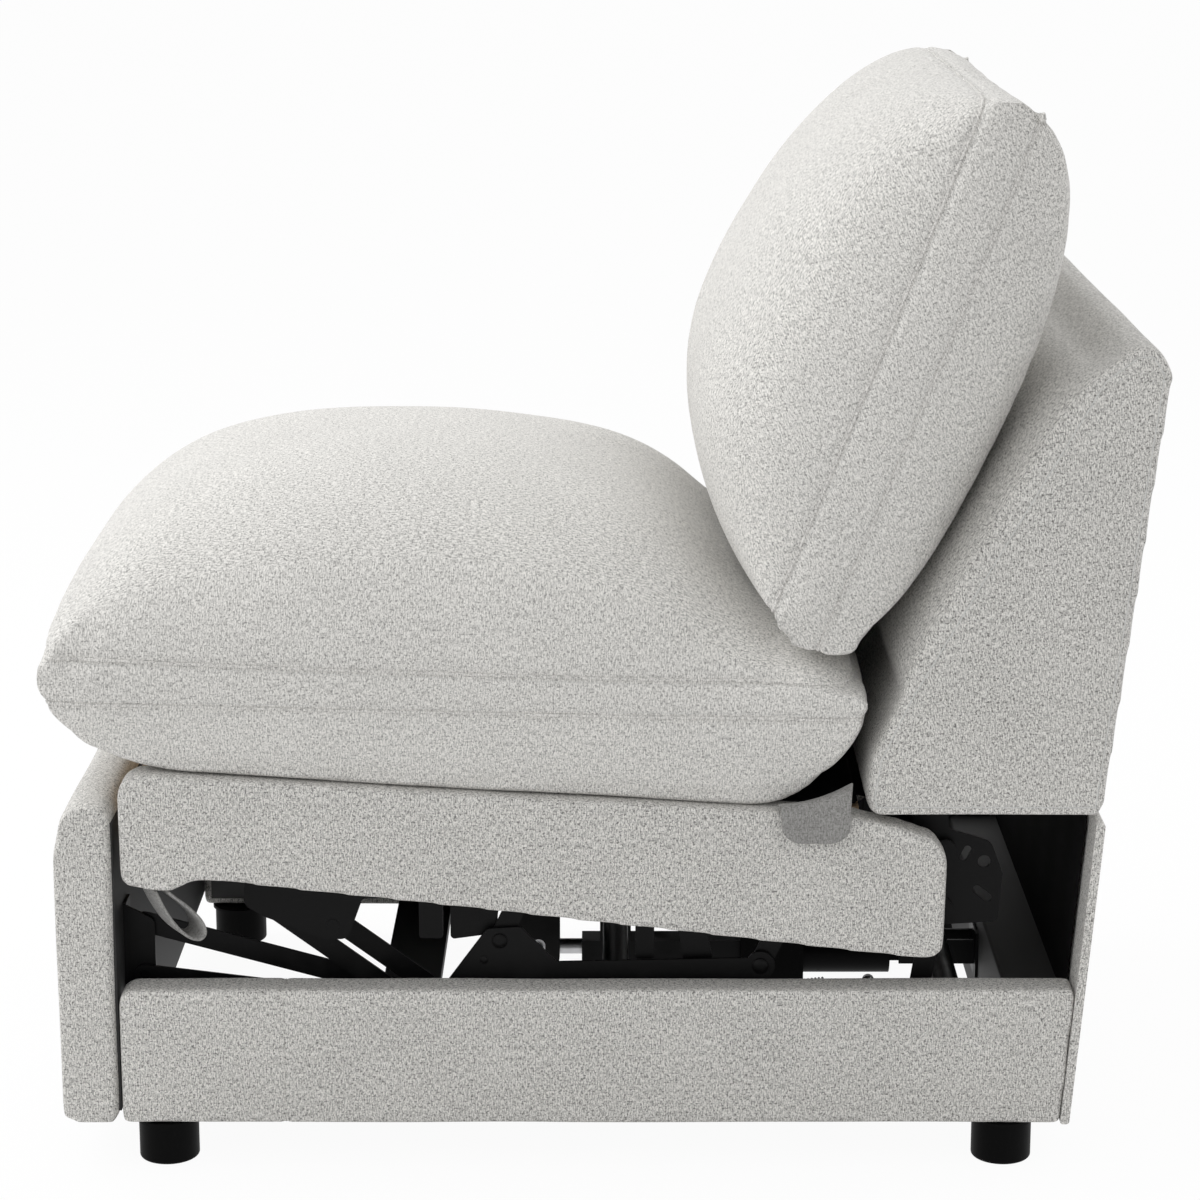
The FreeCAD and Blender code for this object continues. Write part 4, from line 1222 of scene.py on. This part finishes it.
@dataclass
class Base:
    """Box base: covered side rails, boards, rear panel, lining and feet."""

    seams: Seams
    fasteners: Fasteners
    face: float = 0.342
    inner: float = 0.3006
    outline: Outline = field(default_factory=lambda: [
        (-0.4485, 0.042, 0.004), (0.4420, 0.042), (0.4535, 0.176, 0.006), (-0.4485, 0.176, 0.014)])
    join_y: float = -0.293
    lining_low: tuple[float, float] = (0.4500, 0.150)
    lining_high: tuple[float, float] = (0.4659, 0.335)
    plate_face: float = 0.297

    def build(self) -> None:
        """Makes the base's pieces."""
        for name, sign in (("left", 1.0), ("right", -1.0)):
            self.rail(name, sign)
        self.lining()
        dress([*sides("base_side_core"), "base_front_board", "base_rear_rail"], Finish.STAINED)
        dress(["rear_panel"], Finish.COVER)
        dress([*sides("foot_front"), *sides("foot_rear")], Finish.PLASTIC)
        self.bolts()

    def rail(self, name: str, sign: float) -> None:
        """One covered side rail with its sewn join.

        Args:
            name: left or right.
            sign: Side of the chair along X.
        """
        x0, x1 = sorted((sign * self.inner, sign * self.face))
        form = SoftForm.from_outline("base_rail_cover_" + name, self.outline, x0, x1)
        form.remesh(RAIL_VOXEL).relax(steps=5, restored=10)
        form.ripple(height=0.0009, size=0.11, seed=3.0 * sign).subdivide()
        form.groove((0.0, self.join_y, 0.0), (0.0, 1.0, 0.0), depth=0.0011, width=0.0028)
        finish_piece(form.piece, Finish.COVER, "base", "cover_fabric", ["base_side_cover_" + name])
        line = form.cut((0.0, self.join_y, 0.0), (0.0, 1.0, 0.0))
        self.seams.fold("base_rail_join_" + name, line, 0.0006, Finish.COVER, "base",
                        "cover_fabric")

    def lining(self) -> None:
        """Black cloth on the inner side of the rear panel."""
        low, high = self.lining_low, self.lining_high
        width, stand_off, ripple = 0.6, 0.0012, 0.0004
        parts, columns = 12, 40
        rows = []
        for step in range(parts + 1):
            t = step / parts
            y = low[0] + (high[0] - low[0]) * t - stand_off
            z = low[1] + (high[1] - low[1]) * t
            rows.append([(width * (i / columns - 0.5),
                          y + ripple * math.sin(i * 0.9) * math.sin(math.pi * t), z)
                         for i in range(columns + 1)])
        piece = cloth_strip("rear_lining_cloth", rows, 0.0008)
        finish_piece(piece, Finish.LINING, "base", "lining_cloth", ["rear_lining"])
        run_length((low, high))

    def bolts(self) -> None:
        """Bolts that hold the steel plates on the boards."""
        radius = 0.0055
        spots = [(self.plate_face, y, z, -1.0, radius)
                 for y, z in ((-0.130, 0.132), (0.020, 0.172), (0.205, 0.132), (0.352, 0.128))]
        self.fasteners.place("base_plate_bolts", Head.BOLT, Fasteners.both_sides(spots),
                             Finish.PAINT, "base", "black_steel")


@dataclass
class Seat:
    """Seat frame, its springs and the seat cushion."""

    seams: Seams
    face: float = 0.342
    inner: float = 0.3006
    deck_half: float = 0.3
    deck_height: float = 0.362
    deck_slope: float = 0.0612
    seam_front: float = -0.505
    seam_rear: float = 0.250
    upper_seam: tuple[float, float] = (0.497, 0.470)
    lower_seam: tuple[float, float] = (0.456, 0.439)
    row_gap: float = 0.0042

    def deck(self, y: float) -> float:
        """Height of the deck at y."""
        return self.deck_height - self.deck_slope * y

    def build(self) -> None:
        """Makes the seat's pieces."""
        for name, sign in (("left", 1.0), ("right", -1.0)):
            self.rail(name, sign)
        self.cushion()
        self.springs()
        self.deck_cloth()
        self.rear_shade_sheet()
        self.straps()
        self.flaps()
        dress([*sides("seat_rail_core"), "seat_front_board", "seat_rear_board"], Finish.WOOD)

    def rail(self, name: str, sign: float) -> None:
        """One covered side rail.

        Args:
            name: left or right.
            sign: Side of the chair along X.
        """
        outline = [
            (-0.443, 0.278, 0.014), (-0.397, 0.272, 0.010), (-0.372, 0.284, 0.008),
            (-0.344, 0.283, 0.060), (0.315, 0.206, 0.010), (0.328, 0.215, 0.005),
            (0.330, 0.306, 0.008), (0.318, 0.324, 0.010), (0.286, 0.336, 0.020),
            (0.238, self.deck(0.238), 0.020),
            (-0.443, self.deck(-0.443) - 0.001, 0.022)]
        x0, x1 = sorted((sign * self.inner, sign * self.face))
        form = SoftForm.from_outline("seat_rail_cover_soft_" + name, outline, x0, x1)
        form.remesh(RAIL_VOXEL).relax(steps=5, restored=10)
        form.ripple(height=0.0010, size=0.10, seed=7.0 * sign).subdivide()
        finish_piece(form.piece, Finish.COVER, "seat", "cover_fabric", ["seat_rail_cover_" + name])

    def cushion(self) -> None:
        """Filled seat cushion with a boxed band between two seams."""
        form = SoftForm.from_node("seat_cushion_cover", "seat_cushion")
        form.remesh(SOFT_VOXEL).relax(steps=10, restored=30).swell(Filling())
        form.ripple(height=0.0022, size=0.17, seed=11.0).subdivide()
        run = self.seam_rear - self.seam_front
        lines = []
        for label, (front, rear), side in (("upper", self.upper_seam, -1.0),
                                           ("lower", self.lower_seam, 1.0)):
            normal = (0.0, (front - rear) / run, 1.0)
            lines.append(SeamLine("seat_cushion_" + label, (0.0, self.seam_front, front),
                                  (0.0, self.seam_front, front + side * self.row_gap), normal))
        for line in lines:
            form.groove(line.point, line.normal, depth=0.0032, width=0.0055)
        finish_piece(form.piece, Finish.CUSHION, "seat", "cushion_fabric", ["seat_cushion"])
        self.seams.sew(form, lines, 0.0017, Finish.CUSHION, "seat", "cushion_fabric")

    def springs(self) -> None:
        """Zigzag wire springs from board to board."""
        lines = []
        count = 6
        step = 2.0 * self.deck_half / count
        wire, drop, half_width = 0.0018, 0.0038, 0.0198
        first, last = -0.4235, 0.2485
        waves = 27
        parts = waves * 12
        for row in range(count):
            middle = (row + 0.5) * step - self.deck_half
            line = []
            for i in range(parts + 1):
                t = i / parts
                y = first + (last - first) * t
                swing = math.sin(2.0 * math.pi * waves * t)
                x = middle + half_width * math.copysign(abs(swing) ** 0.55, swing)
                line.append((x, y, self.deck(y) - drop))
            lines.append(line)
        piece = self.seams.fold_tree.run(line_object(lines, False), "seat_zigzag_springs",
                                         Finish.OILED, {"Radius": wire, "Step": FOLD_STEP})
        finish_piece(piece, Finish.OILED, "seat", "spring_steel", ["seat_springs"])

    def deck_cloth(self) -> None:
        """Black cloth stretched over the springs."""
        first, last, drop = -0.425, 0.250, 0.0009
        parts, columns = 27, 24
        width = 2.0 * self.deck_half
        rows = []
        for step in range(parts + 1):
            y = first + (last - first) * step / parts
            rows.append([(width * (i / columns - 0.5), y, self.deck(y) - drop)
                         for i in range(columns + 1)])
        piece = cloth_strip("seat_deck_sheet", rows, 0.0011)
        finish_piece(piece, Finish.LINING, "seat", "dark_cloth", ["seat_deck_cloth"])

    def rear_shade_sheet(self) -> None:
        """Black sheet that hangs over the rear board and closes the gap to the back; its black is
        painted shade, standing in for the shade that falls in that gap.
        """
        path = smooth_line([(0.2470, 0.3446), (0.2530, 0.3442), (0.2620, 0.3400), (0.2760, 0.3200),
                            (0.2850, 0.2900)])
        width, columns = 0.53, 20
        rows = [[(width * (i / columns - 0.5), y, z) for i in range(columns + 1)]
                for y, z in path]
        piece = cloth_strip("seat_rear_cloth", rows, 0.0011)
        # The near-black lining finish here paints the shade in the gap between seat and back.
        finish_piece(piece, Finish.LINING, "seat", "dark_cloth")
        run_length(path)

    def straps(self) -> None:
        """Folded loops of cloth under the front ends of the rails."""
        path = smooth_line([(-0.4090, 0.2728), (-0.4015, 0.2560), (-0.3910, 0.2390),
                            (-0.3790, 0.2275), (-0.3690, 0.2250), (-0.3635, 0.2315),
                            (-0.3665, 0.2430), (-0.3780, 0.2560), (-0.3900, 0.2655),
                            (-0.3975, 0.2722)])
        edge, across, forward, columns = 0.338, 0.032, 0.020, 6
        pieces = []
        for sign in (1.0, -1.0):
            rows = [[(sign * (edge - across * i / columns), y - forward * i / columns, z)
                     for i in range(columns + 1)] for y, z in path]
            pieces.append(cloth_strip("strap", rows, 0.0030))
        self.joined_sheet(pieces, "seat_strap_loops", ["seat_straps"],
                          (0.060, run_length(path)), "hung")

    def flaps(self) -> None:
        """Tongues of cloth that hang out over the rails at the rear of the cushion."""
        drop = smooth_line([(0.3340, 0.3590), (0.3420, 0.3600), (0.3475, 0.3560),
                            (0.3515, 0.3450), (0.3530, 0.3240)], 5)
        middle, half_width, taper, columns = 0.206, 0.0350, 0.0035, 16
        pieces = []
        for sign in (1.0, -1.0):
            rows = []
            for step, (x, z) in enumerate(drop):
                t = step / (len(drop) - 1)
                row = []
                for i in range(columns + 1):
                    u = i / columns
                    y = middle + (2.0 * u - 1.0) * (half_width - taper * t)
                    curl = abs(2.0 * u - 1.0) ** 4
                    wave = 0.0016 * math.sin(u * 8.0 + 0.7) * t
                    tip = 0.012 * curl * t ** 2
                    lift = (0.022 * u ** 2 - 0.003) * (1.0 - t)
                    row.append((sign * (x + wave), y, z + tip + lift))
                rows.append(row)
            pieces.append(cloth_strip("flap", rows, 0.0028))
        self.joined_sheet(pieces, "seat_side_flaps", ["seat_flaps"],
                          (0.110, run_length(drop)), "hung")

    @staticmethod
    def joined_sheet(pieces: list[bpy.types.Object], name: str, nodes: list[str],
                     flat: tuple[float, float], held: str) -> None:
        """Args:
            pieces: The strips.
            name: The joined piece's name.
            nodes: CAD nodes that it stands for.
            flat: Width and length of the cut; not used.
            held: How the cloth is held; not used.
        """
        shape = bmesh.new()
        for piece in pieces:
            shape.from_mesh(piece.data)
            bpy.data.objects.remove(piece)
        bmesh.ops.recalc_face_normals(shape, faces=shape.faces)
        joined = mesh_object(name, [], [])
        shape.to_mesh(joined.data)
        shape.free()
        # The flaps and loops get the darkened reverse cloth, whose dark tone is partly painted
        # shade.
        finish_piece(joined, Finish.REVERSE, "seat", "cover_fabric", nodes)


@dataclass
class Back:
    """Upholstered back frame and the loose pillow in front of it."""

    seams: Seams
    face: float = 0.342
    crown: float = 0.034
    crown_edge: float = 0.002
    pad_depth: float = 0.016
    grid: float = 0.012
    seam_inset: float = 0.0085
    foot: Point = (0.0, 0.205, 0.5078)
    lean: float = math.radians(21.5)
    front_seam: float = -0.0490
    rear_seam: float = 0.0030
    row_gap: float = 0.004
    outline: Outline = field(default_factory=lambda: [
        (0.256, 0.3475, 0.006), (0.473, 0.3475, 0.006), (0.523, 0.764, 0.016),
        (0.509, 0.787, 0.012), (0.488, 0.787, 0.014), (0.455, 0.762, 0.016),
        (0.286, 0.465, 0.040), (0.258, 0.404, 0.020), (0.252, 0.366, 0.010)])

    def build(self) -> None:
        """Makes the back's pieces."""
        self.cover()
        self.pillow()

    def section(self, x: float) -> list[tuple[float, float]]:
        """The back's outline at X, with the front pushed out by its padding.

        Args:
            x: Station across the chair.

        Returns:
            The (y, z) points.
        """
        last, first = (Vector(corner[:2]) for corner in self.outline[5:7])
        along = last - first
        length = along.length
        along.normalize()
        out = Vector((-along.y, along.x))
        share = min(abs(x) / self.face, 1.0)
        crown = self.crown_edge + self.crown * math.sqrt(1.0 - share ** 3)
        result = []
        points = rounded(self.outline)
        for i, point in enumerate(points):
            here = Vector(point)
            after = Vector(points[(i + 1) % len(points)])
            parts = max(1, round((after - here).length / self.grid))
            for step in range(parts):
                p = here.lerp(after, step / parts)
                t = (p - first).dot(along) / length
                depth = (p - first).dot(out)
                if 0.0 < t < 1.0 and depth > -self.pad_depth:
                    p = p + out * crown * math.sqrt(1.0 - abs(2.0 * t - 1.0) ** 4)
                result.append(tuple(p))
        return result

    def cover(self) -> None:
        """The back's padded cover with seams round its side panels."""
        shares = (0.0, 0.2, 0.4, 0.6, 0.75, 0.86, 0.93, 0.97, 0.99, 1.0)
        stations = [-s * self.face for s in reversed(shares[1:])] + [s * self.face for s in shares]
        form = SoftForm.from_sections("back_cover", stations, self.section)
        form.remesh(SOFT_VOXEL).relax(steps=5)
        form.ripple(height=0.0008, size=0.16, seed=5.0).subdivide()
        finish_piece(form.piece, Finish.BACK, "back", "cover_fabric",
                     [*sides("back_side"), "back_outer_panel", "back_head_board", "back_pad",
                      "back_bottom_boards"])
        inset = self.inset(self.seam_inset)
        outside = self.face + 0.058
        for name, sign in (("left", 1.0), ("right", -1.0)):
            starts = [(sign * outside, y, z) for y, z in inset]
            line = form.onto(starts, (-sign, 0.0, 0.0))
            self.seams.fold("back_side_seam_" + name, [line], 0.0007, Finish.THREAD, "back",
                            "cover_fabric")

    def inset(self, amount: float) -> list[tuple[float, float]]:
        """The rounded outline moved inward, at even steps.

        Args:
            amount: How far it moves.

        Returns:
            The (y, z) points.
        """
        points = [Vector(p) for p in rounded(self.outline, 6)]
        result = []
        for i, here in enumerate(points):
            after = points[(i + 1) % len(points)]
            before = points[i - 1]
            run = (after - before).normalized()
            result.append((here.x - run.y * amount, here.y + run.x * amount))
        fine = []
        for i, here in enumerate(result):
            after = result[(i + 1) % len(result)]
            parts = max(1, round((Vector(after) - Vector(here)).length / 0.006))
            fine += [tuple(Vector(here).lerp(Vector(after), step / parts))
                     for step in range(parts)]
        return fine

    def pillow(self) -> None:
        """Filled pillow with a narrow band between two seams."""
        form = SoftForm.from_node("back_pillow_cover", "back_pillow")
        form.remesh(SOFT_VOXEL).relax(steps=9, restored=30).swell(Filling())
        form.ripple(height=0.0024, size=0.16, seed=19.0).subdivide()
        normal = (0.0, math.cos(self.lean), -math.sin(self.lean))
        foot = Vector(self.foot)
        axis = Vector(normal)
        lines = [SeamLine("back_pillow_" + label, tuple(foot + axis * depth),
                          tuple(foot + axis * (depth - side * self.row_gap)), normal)
                 for label, depth, side in (("front", self.front_seam, -1.0),
                                            ("rear", self.rear_seam, 1.0))]
        for line in lines:
            form.groove(line.point, line.normal, depth=0.0030, width=0.0052)
        finish_piece(form.piece, Finish.PILLOW, "back", "cushion_fabric", ["back_pillow"])
        self.seams.sew(form, lines, 0.0016, Finish.PILLOW, "back", "cushion_fabric")


@dataclass
class Footrest:
    """Folding panel at the front."""

    face: float = 0.342
    outline: Outline = field(default_factory=lambda: [
        (-0.4512, 0.042, 0.004), (-0.4512, 0.350, 0.010), (-0.464, 0.358, 0.014),
        (-0.496, 0.355, 0.022), (-0.506, 0.308, 0.060), (-0.506, 0.042, 0.012)])

    def build(self) -> None:
        """Makes the panel's cover and dresses its board."""
        form = SoftForm.from_outline("footrest_cover", self.outline, -self.face, self.face)
        form.remesh(SOFT_VOXEL).relax(steps=6)
        form.ripple(height=0.0012, size=0.13, seed=23.0).subdivide()
        finish_piece(form.piece, Finish.COVER, "footrest", "cover_fabric", ["footrest_pad"])
        dress(["footrest_board"], Finish.STAINED)


@dataclass
class Mechanism:
    """Steel linkage, motor and springs, with their heads and bolts."""

    fasteners: Fasteners

    def build(self) -> None:
        """Dresses the steel and adds the heads."""
        dress([*sides("base_plate"), "base_front_tube", "base_rear_tube", "drive_bracket",
               "drive_rail", *sides("front_lift"), *sides("rear_lift"), *sides("seat_plate"),
               "seat_cross_tube", "drive_yoke", *sides("back_bracket"), *sides("back_link"),
               *sides("footrest_long_link"), "footrest_keeper_links", "footrest_guide_links",
               "footrest_torque_tube", *sides("footrest_bracket")], Finish.PAINT)
        dress(["drive_rod"], Finish.BRIGHT)
        dress(["tension_springs"], Finish.SPRING)
        dress(["drive_motor"], Finish.PLASTIC)
        self.rivets()

    def rivets(self) -> None:
        """Rivet heads on the pivots, and screws on the motor's gearbox."""
        heads = {
            "base": [(0.300, -0.090, 0.211, 1.0, 0.0075), (0.300, -0.105, 0.192, 1.0, 0.0040),
                     (0.300, 0.158, 0.186, 1.0, 0.0080)],
            "seat": [(0.288, -0.225, 0.308, -1.0, 0.0070), (0.288, 0.082, 0.306, -1.0, 0.0070),
                     (0.288, 0.278, 0.272, -1.0, 0.0070)],
            "long_links": [(0.279, -0.320, 0.248, -1.0, 0.0080)],
            "guide_links": [(0.2745, -0.430, 0.222, -1.0, 0.0080)],
        }
        for body, spots in heads.items():
            self.fasteners.place(body + "_rivets", Head.RIVET, Fasteners.both_sides(spots),
                                 Finish.PAINT, body, "black_steel")
        screws = [((x, y, 0.124), (0.0, 0.0, 1.0), 0.0042)
                  for x in (-0.022, 0.022) for y in (0.158, 0.207)]
        self.fasteners.place("gearbox_screws", Head.SCREW, screws, Finish.BRIGHT, "base",
                             "bright_steel")


@dataclass(frozen=True)
class Lamp:
    """Soft square lamp that points at a place."""

    name: str
    place: Point
    target: Point
    size: float
    power: float

    def build(self) -> None:
        """Hangs the lamp."""
        data = bpy.data.lights.new(self.name, "AREA")
        data.size = self.size
        data.energy = self.power
        lamp = bpy.data.objects.new(self.name, data)
        lamp.location = self.place
        aim = Vector(self.target) - Vector(self.place)
        lamp.rotation_euler = aim.to_track_quat("-Z", "Y").to_euler()
        bpy.context.scene.collection.objects.link(lamp)


@dataclass
class Studio:
    """Pale floor, soft lights and the camera of the photograph."""

    lamps: tuple[Lamp, ...] = (
        Lamp("key", (-0.6, -2.4, 3.0), (0.0, 0.0, 0.4), 2.6, 71.0),
        Lamp("front", (3.2, -1.4, 2.2), (0.0, 0.0, 0.4), 2.6, 9.0),
        Lamp("rear", (-1.5, 2.6, 2.4), (0.0, 0.0, 0.5), 2.4, 22.0))
    lens: float = 99.34
    place: Point = (3.2848, 0.0206, 1.2608)
    pitch: float = math.radians(76.5)
    shift: float = -16.0 / 1200.0
    ambient: float = 0.70
    floor_size: float = 60.0
    floor_glow: float = 0.95

    def build(self) -> None:
        """Makes the studio."""
        self.camera()
        self.floor()
        self.world()
        for lamp in self.lamps:
            lamp.build()
        bpy.context.scene.view_settings.view_transform = "Standard"

    def camera(self) -> None:
        """The photograph's camera."""
        data = bpy.data.cameras.new("camera")
        data.lens = self.lens
        data.sensor_width = 36.0
        data.shift_x = self.shift
        camera = bpy.data.objects.new("camera", data)
        camera.location = self.place
        camera.rotation_euler = (self.pitch, 0.0, math.pi / 2.0)
        bpy.context.scene.collection.objects.link(camera)
        bpy.context.scene.camera = camera

    @staticmethod
    def seen(shader: Shader) -> Wire:
        """One for rays that show the background.

        Args:
            shader: The tree that asks.

        Returns:
            One or zero.
        """
        paths = shader.tree.nodes.new("ShaderNodeLightPath")
        camera, glossy, through = (Wire(shader, paths.outputs[key]) for key in
                                   ("Is Camera Ray", "Is Glossy Ray", "Is Transmission Ray"))
        total = camera + glossy + through
        return total.math("MINIMUM", 1.0)

    def floor(self) -> None:
        """Pale floor that keeps a light shadow."""
        half = self.floor_size / 2.0
        floor = mesh_object("floor", [(-half, -half, 0.0), (half, -half, 0.0),
                                      (half, half, 0.0), (-half, half, 0.0)], [(0, 1, 2, 3)])
        s = Shader("floor")
        matt = s.node("ShaderNodeBsdfDiffuse", None, {"Color": (0.86, 0.86, 0.86)})
        bright = s.node("ShaderNodeEmission", None, {"Color": (1.0, 1.0, 1.0), "Strength": 1.0})
        s.close(s.node("ShaderNodeMixShader", None,
                       {0: self.seen(s) * self.floor_glow, 1: matt, 2: bright}))
        floor.data.materials.append(s.owner)

    def world(self) -> None:
        """Even light, white where it is seen."""
        s = Shader("studio", world=True)
        dim = s.node("ShaderNodeBackground", None,
                     {"Color": (1.0, 1.0, 1.0), "Strength": self.ambient})
        white = s.node("ShaderNodeBackground", None, {"Color": (1.0, 1.0, 1.0), "Strength": 1.0})
        s.close(s.node("ShaderNodeMixShader", None, {0: self.seen(s), 1: dim, 2: white}))
        bpy.context.scene.world = s.owner


def main() -> None:
    """Builds the chair's sub-assemblies and the studio."""
    logging.basicConfig(level=logging.INFO, format="%(message)s")
    Studio().build()
    seams = Seams()
    fasteners = Fasteners()
    for part in (Base(seams, fasteners), Seat(seams), Back(seams), Footrest(),
                 Mechanism(fasteners)):
        log.info("building %s", type(part).__name__)
        part.build()


if __name__ == "__main__":
    main()
